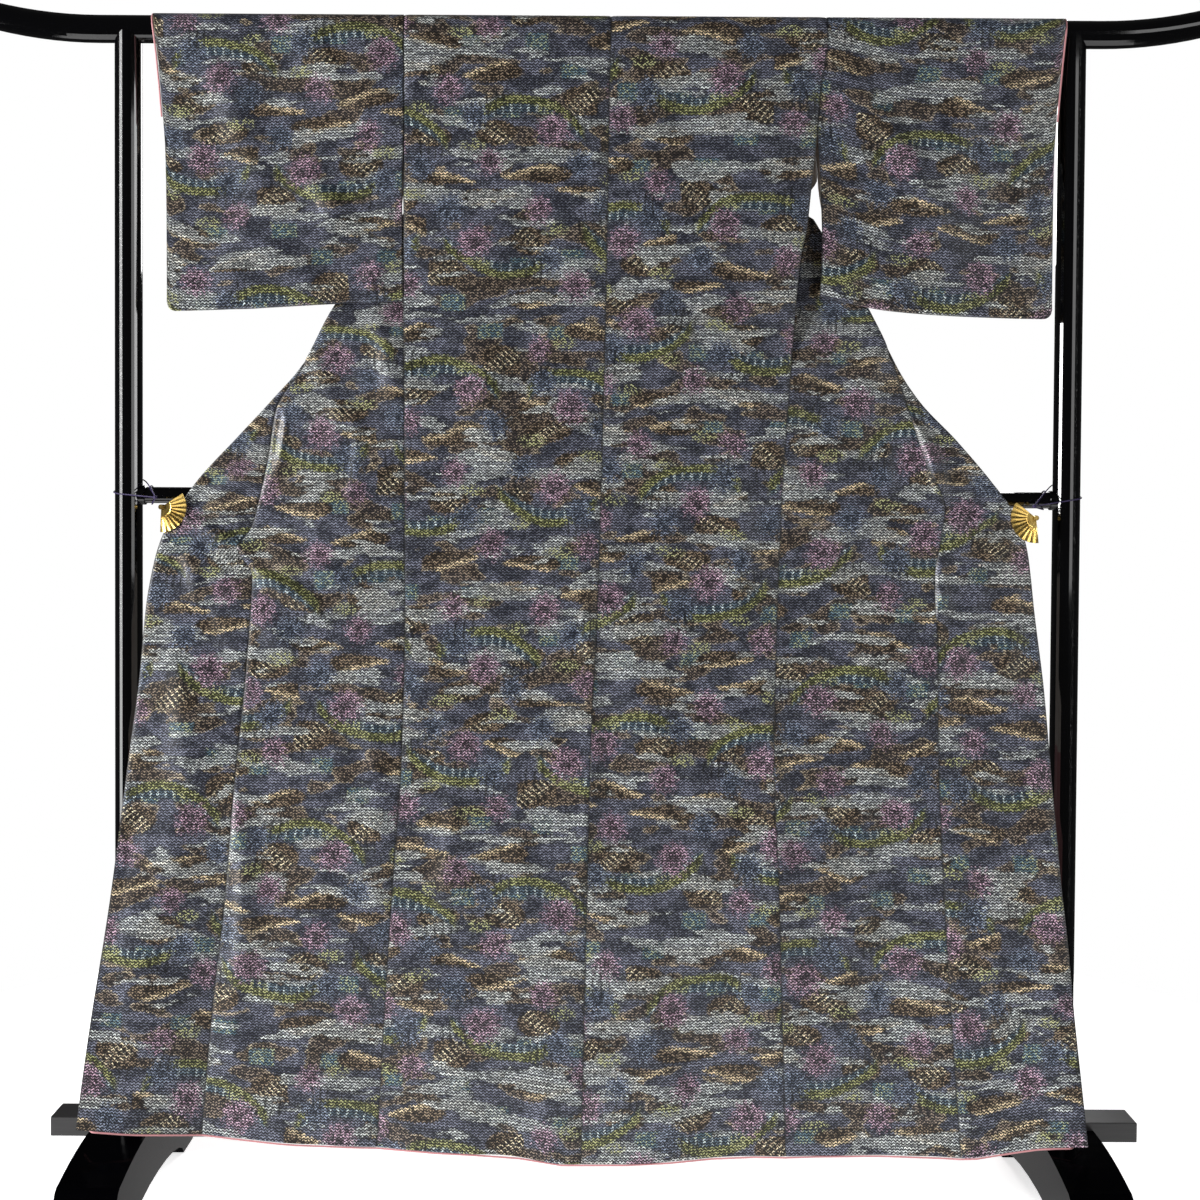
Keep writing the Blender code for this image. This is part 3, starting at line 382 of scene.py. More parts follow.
def hem_edge_rows():
    """Section corners of the hem's edging from the left front edge to the right one."""
    line = []
    for side in (LEFT, RIGHT):
        half = [(side * x, y) for x, y in front_row(side, HEM_DROP)]
        half += [(side * x, y) for x, y in overlap_row(side, HEM_DROP)[1:-1]]
        half.append((side * column(OUTER, side_name(side), HEM_DROP), column(DEPTH, "shown", HEM_DROP)))
        back = [(side * x, column(DEPTH, "back", HEM_DROP)) for x in (225, 165, 105, 45)]
        line += (back[::-1] + half)[::-1] if side == LEFT else back[::-1] + half
    rows = []
    for x, y in line:
        x, y, z = place(x, y, HEM_DROP)
        near, far = y + 0.3 - EDGE_WALL / 2, y + 0.3 + EDGE_WALL / 2
        top, bottom = z - HEM_EDGE_GAP, z - HEM_EDGE_GAP - EDGE_SHOWS
        rows.append(((x, near, top), (x, far, top), (x, far, bottom), (x, near, bottom)))
    return rows


def round_bar(degrees):
    """Depth and drop of the sleeve's cloth round the bar, from the side that shows."""
    turn = math.radians(degrees)
    return -DRAPE_RADIUS / MM * math.cos(turn), DRAPE_RADIUS / MM * (1 - math.sin(turn))


def cuff_edge_rows(side):
    """Section corners of the wrist opening's edging, from its front end over the bar to the back."""
    drops = (150, 105, 65, 38)
    ring = [(column(DEPTH, "back", drop), drop) for drop in drops]
    ring += [round_bar(degrees) for degrees in range(0, 181, 36)]
    ring += [(column(DEPTH, "sleeve", drop), drop) for drop in drops[::-1]]
    name = side_name(side)
    line = [Vector((side * column(WRIST, name, drop), y, TOP_Z / MM - drop)) for y, drop in ring]
    rows = []
    for i, point in enumerate(line):
        way = line[min(i + 1, len(line) - 1)] - line[max(i - 1, 0)]
        away = Vector((side, 0, 0))
        across = way.cross(away).normalized() * EDGE_WALL / 2
        near = point + away * CUFF_EDGE_GAP
        far = point + away * (CUFF_EDGE_GAP + EDGE_SHOWS)
        rows.append((near + across, near - across, far - across, far + across))
    return rows


# ---- creases ---------------------------------------------------------------------------
# Soft creases of the side that shows: both ends (x, drop) and half width in
# millimetres, and how far the cloth stands out (or in, if negative) in units of CREASE_DEPTH
SHOWN_CREASES = ("x1 drop1 x2 drop2 width stand", (
    # broad ridges down the skirt
    (-440, 500, -290, 920, 72, 1.3), (0, 720, 24, 1580, 80, 1.5), (-596, 770, -640, 1560, 50, 1.3),
    (470, 500, 604, 716, 46, 1.5), (196, 880, 236, 1360, 58, 1.2), (-300, 1040, -330, 1580, 56, 1.0),
    (480, 900, 520, 1560, 60, 1.2), (-180, 40, -150, 420, 66, 0.9), (176, 60, 190, 460, 58, 0.9),
    # right sleeve
    (330, 70, 500, 350, 17, 2.2), (300, 120, 420, 300, 13, -1.4), (333, 400, 385, 345, 11, 1.8),
    (380, 340, 440, 410, 12, 1.4), (520, 60, 470, 250, 26, 1.5), (600, 200, 540, 400, 24, -1.4),
    (570, 90, 640, 320, 22, 1.6), (340, 210, 372, 380, 10, -1.3), (420, 20, 500, 150, 22, -1.2),
    # left sleeve
    (-278, 112, -150, 34, 13, 1.8), (-300, 150, -430, 20, 20, 1.6), (-425, 225, -360, 300, 17, 2.0),
    (-300, 330, -400, 215, 13, -1.4), (-560, 60, -470, 330, 26, 1.7), (-600, 160, -560, 380, 20, -1.3),
    (-350, 395, -520, 300, 18, 1.5), (-300, 250, -330, 400, 10, 1.2),
    # back
    (-150, 60, -240, 260, 30, 1.1), (120, 40, 250, 230, 34, 1.2), (60, 250, 90, 620, 28, 1.1),
    (-60, 160, -90, 520, 34, -1.0), (-36, 740, -38, 1300, 11, 1.6), (40, 700, 66, 1250, 24, -1.2),
    (-170, 420, -200, 900, 30, 1.2), (180, 520, 170, 980, 26, 1.2), (-120, 1000, -160, 1560, 22, 1.4),
    (130, 1040, 150, 1560, 24, -1.2), (-230, 880, -236, 1400, 14, 1.2), (226, 900, 228, 1420, 14, 1.3),
    (0, 880, -70, 960, 18, 0.9), (-20, 60, -30, 400, 10, 0.8),
    # left front and its overlap, drawn towards the clip
    (-345, 560, -347, 690, 9, 1.7), (-590, 712, -480, 782, 8, 3.0), (-570, 740, -470, 812, 9, -1.8),
    (-490, 788, -372, 868, 11, 3.3), (-480, 770, -330, 812, 14, 1.9), (-520, 740, -486, 796, 6, -2.6),
    (-560, 690, -430, 640, 11, 1.4), (-585, 760, -540, 900, 13, 1.8), (-560, 770, -500, 980, 12, -1.4),
    (-440, 560, -470, 690, 8, 1.5), (-420, 470, -350, 620, 16, 1.4), (-330, 400, -290, 560, 13, 1.1),
    (-480, 860, -420, 930, 15, 1.3), (-590, 900, -620, 1300, 22, 1.6), (-400, 1000, -430, 1500, 26, -1.4),
    (-640, 1120, -668, 1540, 18, -1.5), (-340, 900, -330, 1420, 20, 1.3), (-510, 1050, -540, 1560, 16, 1.6),
    # right front and its overlap
    (437, 550, 486, 706, 9, 2.6), (420, 560, 455, 730, 9, -1.4), (575, 726, 470, 760, 7, 2.2),
    (590, 742, 450, 806, 8, 2.3), (582, 760, 500, 842, 8, -1.8), (460, 800, 340, 826, 12, 2.2),
    (575, 715, 500, 700, 6, 1.6), (568, 734, 500, 716, 5, -1.5), (480, 730, 470, 900, 8, 2.0),
    (592, 780, 556, 980, 14, 1.7), (565, 800, 520, 1060, 12, -1.4), (400, 430, 340, 600, 18, 1.3),
    (330, 470, 300, 700, 15, -1.0), (360, 880, 350, 1400, 24, 1.4), (430, 960, 446, 1500, 18, -1.5),
    (600, 1000, 626, 1500, 18, 1.6), (550, 1100, 560, 1560, 16, -1.3), (310, 1100, 320, 1560, 16, 1.3)))

# The same for the sides that the hidden layers show, +Y
HIDDEN_CREASES = ("x1 drop1 x2 drop2 width stand", (
    (-330, 90, -480, 330, 18, 1.6), (-420, 60, -560, 360, 22, -1.2), (-300, 300, -400, 400, 12, 1.3),
    (-600, 120, -520, 400, 24, 1.3), (330, 120, 470, 380, 18, 1.6), (430, 50, 560, 300, 24, -1.2),
    (600, 80, 560, 390, 20, 1.4), (340, 400, 430, 300, 13, 1.2),
    (-250, 90, -210, 260, 9, 1.3), (-280, 260, -350, 420, 8, 1.2), (-360, 400, -470, 560, 8, 1.3),
    (250, 100, 205, 270, 9, 1.3), (285, 280, 350, 430, 8, 1.2), (370, 420, 470, 560, 8, 1.2),
    (-500, 600, -570, 690, 7, 1.2), (500, 590, 565, 680, 7, 1.3)))

# Ripples too small to place one by one: wave lengths in x and drop, phase, and height
RIPPLES = ((310, 520, 0.4, 0.85), (170, -390, 1.9, 0.60), (-96, 260, 3.1, 0.38), (61, 173, 5.0, 0.20),
           (430, -210, 2.2, 0.70))
CREASE_DEPTH = 4.2      # one unit of a crease's height, mm


def crease_push(table, x, drop):
    """How far the creases of one table push the cloth out at arrays of places."""
    push = np.zeros_like(x)
    for x1, drop1, x2, drop2, width, stand in table[1]:
        run_x, run_d = x2 - x1, drop2 - drop1
        length = math.hypot(run_x, run_d)
        along = ((x - x1) * run_x + (drop - drop1) * run_d) / length ** 2
        off = ((x - x1) * run_d - (drop - drop1) * run_x) / length
        t = np.clip(along, 0.0, 1.0)
        bow = 0.06 * length * np.sin(math.pi * t) * math.copysign(1, stand)
        fade = np.clip(4 * t * (1 - t), 0, 1) ** 0.8 * (0.75 + 0.25 * np.cos(5 * t + x1))
        spread = width * (0.7 + 0.6 * t)
        push += CREASE_DEPTH * stand * fade * np.exp(-((off - bow) / spread) ** 2)
    for wave_x, wave_d, phase, height in RIPPLES:
        push += height * np.sin(2 * math.pi * (x / wave_x + drop / wave_d) + phase)
    return push


SEAM_DIP = 1.1          # how far the cloth sinks at a seam, mm
SEAM_DIP_WIDTH = 2.4    # how far from the seam it starts to, mm
TROUGH_LIMIT = 1.8      # troughs of the side that shows stay clear of the layer behind, mm
NEXT_TO_SEAM = (1.1, 2.6)      # extra columns beside each seam, mm from it


def from_seams(grid):
    """Distance of each point along its row from the nearer end of the row."""
    across = lengths(grid, 1)
    return np.minimum(across, across[:, -1:] - across)


def with_seam_columns(at, keep=4.0):
    """The same places along a row, with extra ones beside both ends, closer in a narrow row."""
    at = np.asarray(at, dtype=float)
    at = np.clip(at, at[0], at[-1])
    wide = at[-1] - at[0]
    closer = min(1.0, wide / (4 * keep))
    keep = keep * closer
    inner = at[0] + keep + (at[1:-1] - at[0]) * (wide - 2 * keep) / wide
    start = [at[0]] + [at[0] + step * closer for step in NEXT_TO_SEAM]
    end = [at[-1] - step * closer for step in NEXT_TO_SEAM[::-1]] + [at[-1]]
    return np.concatenate((start, inner, end))


def crease(grid, flip, ring=False, edges=True, pinned=None):
    """Push a grid of cloth points out along its outward normals."""
    normals = grid_normals(grid, ring) * (-1 if flip else 1)
    x, drop = grid[..., 0], TOP_Z / MM - grid[..., 2]
    facing = normals[..., 1]
    push = np.where(facing < 0, crease_push(SHOWN_CREASES, x, drop), crease_push(HIDDEN_CREASES, x, drop))
    push = push * np.abs(facing) ** 1.5 * np.clip((drop - 6) / 60, 0, 1)
    push = np.where(push < 0, TROUGH_LIMIT * np.tanh(push / TROUGH_LIMIT), push)
    if edges:
        push = push - SEAM_DIP * np.exp(-(from_seams(grid) / SEAM_DIP_WIDTH) ** 2)
    if pinned is not None:
        push = push * pinned
    return grid + normals * push[..., None]


# ---- fine cloth meshes -----------------------------------------------------------------
SHELL = 1.1         # thickness of the visible cloth, mm
STEP = 5.0          # spacing of its points, mm
SEAM_SHADOW = 1.7   # reach of the painted shadow in a seam, mm


def lengths(grid, axis):
    steps = np.linalg.norm(np.diff(grid, axis=axis), axis=2)
    pad = [(0, 0), (0, 0)]
    pad[axis] = (1, 0)
    return np.pad(np.cumsum(steps, axis=axis), pad)


def shell(name, grid, uv, near, outside, inside, flip=False, ring=False, thickness=SHELL):
    """A thin closed shell around a grid of points in millimetres, its outside and inside faces
    with a material each. `uv` holds each point's place on the flat cloth in metres, and `near`
    its distance from a seam in millimetres."""
    normals = grid_normals(grid, ring) * (-1 if flip else 1)
    rows, columns = grid.shape[:2]
    count = rows * columns
    index = np.arange(count).reshape(rows, columns)
    right = np.roll(index, -1, axis=1) if ring else index[:, 1:]
    left = index if ring else index[:, :-1]
    outer = np.stack((left[:-1], left[1:], right[1:], right[:-1]), axis=-1).reshape(-1, 4)
    if flip:
        outer = outer[:, ::-1]
    inner = outer[:, ::-1] + count
    edges = [(left[0], right[0], 1), (left[-1], right[-1], -1)]
    if not ring:
        edges += [(index[:-1, 0], index[1:, 0], -1), (index[:-1, -1], index[1:, -1], 1)]
    rims = [np.stack((a, b, b + count, a + count), axis=-1)[:, ::way] for a, b, way in edges]
    rims = np.concatenate(rims)
    if flip:
        rims = rims[:, ::-1]
    faces = np.concatenate((outer, inner, rims))
    half = normals * thickness / 2
    points = np.concatenate(((grid + half).reshape(-1, 3), (grid - half).reshape(-1, 3))) * MM
    mesh = bpy.data.meshes.new(name)
    mesh.vertices.add(len(points))
    mesh.vertices.foreach_set("co", points.ravel())
    mesh.loops.add(len(faces) * 4)
    mesh.loops.foreach_set("vertex_index", faces.ravel())
    mesh.polygons.add(len(faces))
    mesh.polygons.foreach_set("loop_start", np.arange(len(faces)) * 4)
    kinds = np.concatenate((np.zeros(len(outer)), np.ones(len(inner)), np.zeros(len(rims)))).astype(int)
    mesh.polygons.foreach_set("material_index", kinds)
    layer = mesh.uv_layers.new(name="cloth")
    flat = np.concatenate((uv.reshape(-1, 2), uv.reshape(-1, 2)))
    layer.data.foreach_set("uv", flat[faces.ravel()].ravel())
    # seam attribute: painted shadow beside each seam, 1 at the seam and fading out over SEAM_SHADOW
    seam = mesh.attributes.new("seam", "FLOAT", "POINT")
    seam.data.foreach_set("value", np.tile(np.exp(-(near / SEAM_SHADOW) ** 2).ravel(), 2))
    mesh.update(calc_edges=True)
    mesh.validate()
    mesh.materials.append(outside)
    mesh.materials.append(inside)
    mesh.shade_smooth()
    mesh.set_sharp_from_angle(angle=math.radians(50))
    return linked(name, mesh)


def fine(start, end, step=STEP):
    """Even levels from start to end, both kept."""
    return np.linspace(start, end, max(int(round(abs(end - start) / step)), 1) + 1)


def cloth_uv(grid, v_start, shift):
    """Place on the flat cloth: along the row from its first point, and down from the shoulder."""
    across = lengths(grid, 1)
    down = v_start + np.mean(lengths(grid, 0), axis=1, keepdims=True) * np.ones_like(across)
    return np.stack((across * MM + shift[0], down * MM + shift[1]), axis=-1)


def fine_back(side):
    rows = []
    inner, edge = back_edges(side, 0)
    at_top = with_seam_columns(np.linspace(0, abs(edge - inner), BACK_STRIPS + 1)) / abs(edge - inner)
    xs = inner + (edge - inner) * at_top
    for step in fine(1, 0, 1 / 24):
        rows.append([(x, *over_bar(neck_line(x) * step)) for x in xs])
    for path in fine(0, -BAR_QUARTER, 2.2)[1:]:
        rows.append([(x, *over_bar(path)) for x in xs])
    for drop in fine(DRAPE_RADIUS / MM, HEM_DROP)[1:]:
        inner, edge = back_edges(side, drop)
        y = column(DEPTH, "back", drop)
        rows.append([place(x, y, drop) for x in inner + (edge - inner) * at_top])
    return np.array(rows)


def fine_drops(side, start):
    levels = set(np.round(fine(start, HEM_DROP, 6.0), 1))
    for drop, before, after in ((FOLD_STARTS, 0, 1), (SEAM_TURNS[side], 2, 1), (CLIP_DROP, 1, 3)):
        levels |= set(np.round(fine(drop - before * TURN, drop + after * TURN, 3.0), 1))
    levels = sorted(levels)
    return [a for a, b in zip(levels, levels[1:] + [1e9]) if b - a > 1.2]


# Strips across a back panel, and before, round and behind the fold on a front and an overlap
BACK_STRIPS = 60
FINE_FRONT = (34, 8, 24)
FINE_OVERLAP = (18, 8, 14)


def fine_panel(side, start, row_of, counts, keep):
    """A front or overlap panel, from a drop down to the hem."""
    rows = []
    for drop in fine_drops(side, start):
        rows.append([place(side * x, y, drop) for x, y in row_of(side, drop, counts, keep)])
    return np.array(rows)


SMOOTHED_BY = 8     # points to each side that even out the collar's line


def fine_collar():
    """The collar band, along the same line as its solid but in small steps."""
    line = np.array(collar_line())
    steps = np.linalg.norm(np.diff(line, axis=0), axis=1)
    along = np.concatenate(([0.0], np.cumsum(steps)))
    at = fine(0, along[-1])
    dense = np.stack((np.interp(at, along, line[:, 0]), np.interp(at, along, line[:, 1])), axis=-1)
    soft = np.exp(-(np.arange(-SMOOTHED_BY, SMOOTHED_BY + 1) / 4.0) ** 2)
    soft /= soft.sum()
    for k in (0, 1):
        padded = np.pad(dense[:, k], SMOOTHED_BY, mode="reflect", reflect_type="odd")
        dense[:, k] = np.convolve(padded, soft, "valid")
    steps = np.diff(line, axis=0)
    middles = (along[:-1] + along[1:]) / 2
    rows = []
    for place_at, point in zip(at, dense):
        near = np.exp(-((middles - place_at) / COLLAR_EASE) ** 2)[:, None] * steps
        way = near.sum(axis=0)
        way = np.array((-way[1], way[0])) / np.linalg.norm(way)
        row = []
        for across in fine(0, COLLAR_WIDTH, 4.6):
            x, path = point + way * across
            drop = path - PATH_LESS_DROP
            if drop < 40:
                y, z = over_bar(path)
            else:
                y = column(DEPTH, "hidden", drop) + 2.0 * ease(drop, 540, 640)
                z = TOP_Z / MM - drop
            row.append((x, y, z))
        rows.append(row)
    return np.array(rows)


def fine_sleeve(side):
    """A sleeve's grid, and how freely each of its rows may crease: not at all at the wrist."""
    name = side_name(side)
    rows = []
    spread = np.concatenate(((0, 0.0034, 0.0078), np.linspace(0.016, 0.955, 60), np.linspace(0.965, 1.0, 8)))
    for u in spread:
        bottom = column(SLEEVE_BOTTOM, name, u)
        wide = column(WRIST, name, bottom) - column(SLEEVE_INNER, name, bottom)
        from_end = (1 - u) * wide
        if from_end < SLEEVE_CORNER:
            bottom -= SLEEVE_CORNER - math.sqrt(SLEEVE_CORNER ** 2 - (SLEEVE_CORNER - from_end) ** 2)
        fold = bottom - SLEEVE_TURN
        shown, hidden = [], []
        for t in np.linspace(0, 1, 76):
            drop = fold + (DRAPE_RADIUS / MM + 1 - bottom + SLEEVE_TURN) * t
            pinch = ease(u, 0.80, 1.0) * ease(drop, 150, 262)
            near = column(DEPTH, "back", drop)
            far = column(DEPTH, "sleeve", drop)
            far += (near + 1.6 - far) * pinch
            shown.append((near, drop))
            hidden.append((far, drop))
        middle = (shown[0][0] + hidden[0][0]) / 2
        half = (hidden[0][0] - shown[0][0]) / 2
        ring = []
        for degrees in (90, 60, 30):
            a = math.radians(degrees)
            ring.append((middle - half * math.cos(a), fold + SLEEVE_TURN * math.sin(a)))
        ring += shown
        ring += [round_bar(degrees) for degrees in range(6, 175, 8)]
        ring += hidden[::-1]
        for degrees in (30, 60):
            a = math.radians(degrees)
            ring.append((middle + half * math.cos(a), fold + SLEEVE_TURN * math.sin(a)))
        row = []
        for y, drop in ring:
            inner = max(column(SLEEVE_INNER, name, drop), column(SIDE, name, drop))
            inner += 4.0 * ease(y - column(DEPTH, "back", drop), 3, 9) * ease(drop, 236, 290)
            x = inner + (column(WRIST, name, drop) - inner) * u
            row.append((side * x, y, TOP_Z / MM - drop))
        rows.append(row)
    free = np.array([[1 - ease(u, 0.74, 0.96)] for u in spread])
    return np.array(rows), free


# ---- node materials --------------------------------------------------------------------
def rgb(red, green, blue):
    """Linear colour from display values 0 to 255."""
    out = []
    for value in (red, green, blue):
        value /= 255.0
        out.append(value / 12.92 if value <= 0.04045 else ((value + 0.055) / 1.055) ** 2.4)
    return (*out, 1.0)


class Net:
    """A material's node tree, written as short expressions."""

    def __init__(self, name):
        self.material = bpy.data.materials.new(name)
        self.material.use_nodes = True
        self.tree = self.material.node_tree
        self.shader = self.tree.nodes["Principled BSDF"]

    def put(self, socket, value):
        if isinstance(value, bpy.types.NodeSocket):
            self.tree.links.new(value, socket)
        elif isinstance(value, (int, float)):
            kind = socket.type
            socket.default_value = (value, value, value) if kind == "VECTOR" else value
        else:
            socket.default_value = value

    def node(self, kind, *values, **settings):
        made = self.tree.nodes.new(kind)
        for key, value in settings.items():
            setattr(made, key, value)
        for socket, value in zip(made.inputs, values):
            self.put(socket, value)
        return made

    def where(self):
        """Place on the object itself, in metres."""
        return self.node("ShaderNodeTexCoord").outputs["Object"]

    def flat(self):
        """Place on the flat cloth, in millimetres."""
        return self.scaled(self.node("ShaderNodeUVMap", uv_map="cloth").outputs[0], 1000.0, 1000.0)

    def math(self, operation, *values, clamp=False):
        return self.node("ShaderNodeMath", *values, operation=operation, use_clamp=clamp).outputs[0]

    def times(self, a, b):
        return self.math("MULTIPLY", a, b)

    def plus(self, a, b):
        return self.math("ADD", a, b)

    def minus(self, a, b):
        return self.math("SUBTRACT", a, b)

    def fma(self, a, b, c):
        """a times b plus c."""
        return self.math("MULTIPLY_ADD", a, b, c)

    def fract(self, a, b):
        """The fraction left of a divided by b."""
        return self.math("FRACT", self.math("DIVIDE", a, b))

    def vec(self, operation, *values, out=0):
        return self.node("ShaderNodeVectorMath", *values, operation=operation).outputs[out]

    def scaled(self, vector, x, y, z=0.0):
        return self.vec("MULTIPLY", vector, (x, y, z))

    def mix(self, share, a, b, blend="MIX"):
        made = self.node("ShaderNodeMix", data_type="RGBA", blend_type=blend, clamp_factor=True)
        self.put(made.inputs[0], share)
        self.put(made.inputs[6], a)
        self.put(made.inputs[7], b)
        return made.outputs[2]

    def noise(self, vector, scale, detail=2.0, roughness=0.5, out=0):
        made = self.node("ShaderNodeTexNoise", noise_dimensions="3D")
        self.put(made.inputs["Vector"], vector)
        self.put(made.inputs["Scale"], scale)
        self.put(made.inputs["Detail"], detail)
        self.put(made.inputs["Roughness"], roughness)
        return made.outputs[out]

    def white(self, vector):
        return self.node("ShaderNodeTexWhiteNoise", vector, noise_dimensions="3D").outputs[1]

    def parts(self, vector):
        return tuple(self.node("ShaderNodeSeparateXYZ", vector).outputs)

    def join(self, x, y):
        return self.node("ShaderNodeCombineXYZ", x, y).outputs[0]

    def above(self, value, edge, soft):
        """0 below the edge, 1 above it, over a soft width."""
        return self.math("MULTIPLY_ADD", value, 1 / soft, 0.5 - edge / soft, clamp=True)

    def below(self, value, edge, soft):
        """1 below the edge, 0 above it."""
        return self.math("MULTIPLY_ADD", value, -1 / soft, 0.5 + edge / soft, clamp=True)

    def band(self, value, low, high, soft=0.01):
        return self.times(self.above(value, low, soft), self.below(value, high, 0.01))

    def both(self, *masks):
        out = masks[0]
        for mask in masks[1:]:
            out = self.times(out, mask)
        return out

    def bump(self, height, strength, distance):
        made = self.node("ShaderNodeBump")
        self.put(made.inputs["Strength"], strength)
        self.put(made.inputs["Distance"], distance)
        self.put(made.inputs["Height"], height)
        self.tree.links.new(made.outputs[0], self.shader.inputs["Normal"])

    def finish(self, colour, roughness, **constants):
        self.put(self.shader.inputs["Base Color"], colour)
        self.put(self.shader.inputs["Roughness"], roughness)
        for name, value in constants.items():
            self.shader.inputs[name.replace("_", " ")].default_value = value
        return self.material


# The design's cell, in millimetres: every other cell down the cloth is turned half round, and
# each row of cells lies further across than the one before
CELL_WIDE, CELL_HIGH, CELL_SHIFT = 372.0, 183.5, 131.0

GROUND, GROUND_DARK = rgb(72, 74, 87), rgb(43, 45, 56)
CLOUD, CLOUD_SHADE = rgb(154, 158, 156), rgb(86, 89, 91)
OLIVE, OLIVE_DARK = rgb(98, 99, 60), rgb(64, 66, 41)
TEAL, TICK = rgb(43, 56, 67), rgb(136, 145, 147)
PINK, PINK_DARK = rgb(136, 112, 127), rgb(38, 31, 38)
NAVY, NAVY_PALE = rgb(30, 36, 49), rgb(90, 98, 114)
POOL, TUFT = rgb(64, 83, 94), rgb(110, 111, 76)
BROWN, BROWN_PALE = rgb(37, 30, 24), rgb(88, 73, 55)
TAN, CREAM = rgb(150, 136, 110), rgb(164, 154, 130)
INK, WHITE_THREAD = rgb(8, 8, 10), rgb(190, 194, 192)

# Round bursts of strokes: centre and radius; pink ones, then navy ones
PINK_BURSTS = ((66, 104, 21), (214, 46, 18), (296, 128, 20), (156, 150, 16), (344, 44, 15))
NAVY_BURSTS = ((176, 82, 17), (334, 92, 19), (30, 152, 17), (252, 156, 15))
# Arched bridges: middle of the outer edge, outer radius, inner radius, tilt
BRIDGES = ((98, 56, 104, 112, 0.16), (288, 72, 96, 104, 0.10))
BRIDGE_DEEP, BRIDGE_REACH = 24.0, 72.0
# Thatched roofs: centre, half width, half height, slope
ROOFS = ((20, 62, 34, 21, 0.8), (146, 108, 30, 19, -0.8), (326, 160, 33, 15, 0.6), (238, 112, 28, 15, 0.8))
# Banks of earth with a pale slanting crest: centre, half width, half height, slope
BANKS = ((156, 22, 44, 15, 0.34), (268, 18, 40, 13, -0.22), (88, 166, 46, 14, 0.26), (212, 176, 38, 11, -0.3),
         (352, 126, 32, 13, -0.36))
# Pools with straight shores: centre, half width, half height
POOLS = ((206, 84, 15, 12), (38, 20, 16, 11), (128, 76, 12, 10), (318, 20, 14, 9))
# Tufts of grass and groups of stakes: centre, half width, half height
TUFTS = ((76, 74, 16, 9), (180, 124, 18, 9), (306, 34, 18, 9), (350, 172, 20, 9), (250, 74, 14, 8))
POSTS = ((236, 130, 28, 17), (26, 88, 24, 15), (152, 66, 18, 19), (330, 72, 18, 17))
TICK_APART, THATCH_APART, STAKE_APART = 11.5, 10.0, 10.5    # spacing of the small strokes
ZIGZAG_WIDE, ZIGZAG_HIGH = 5.4, 4.0                         # one zigzag of the weave


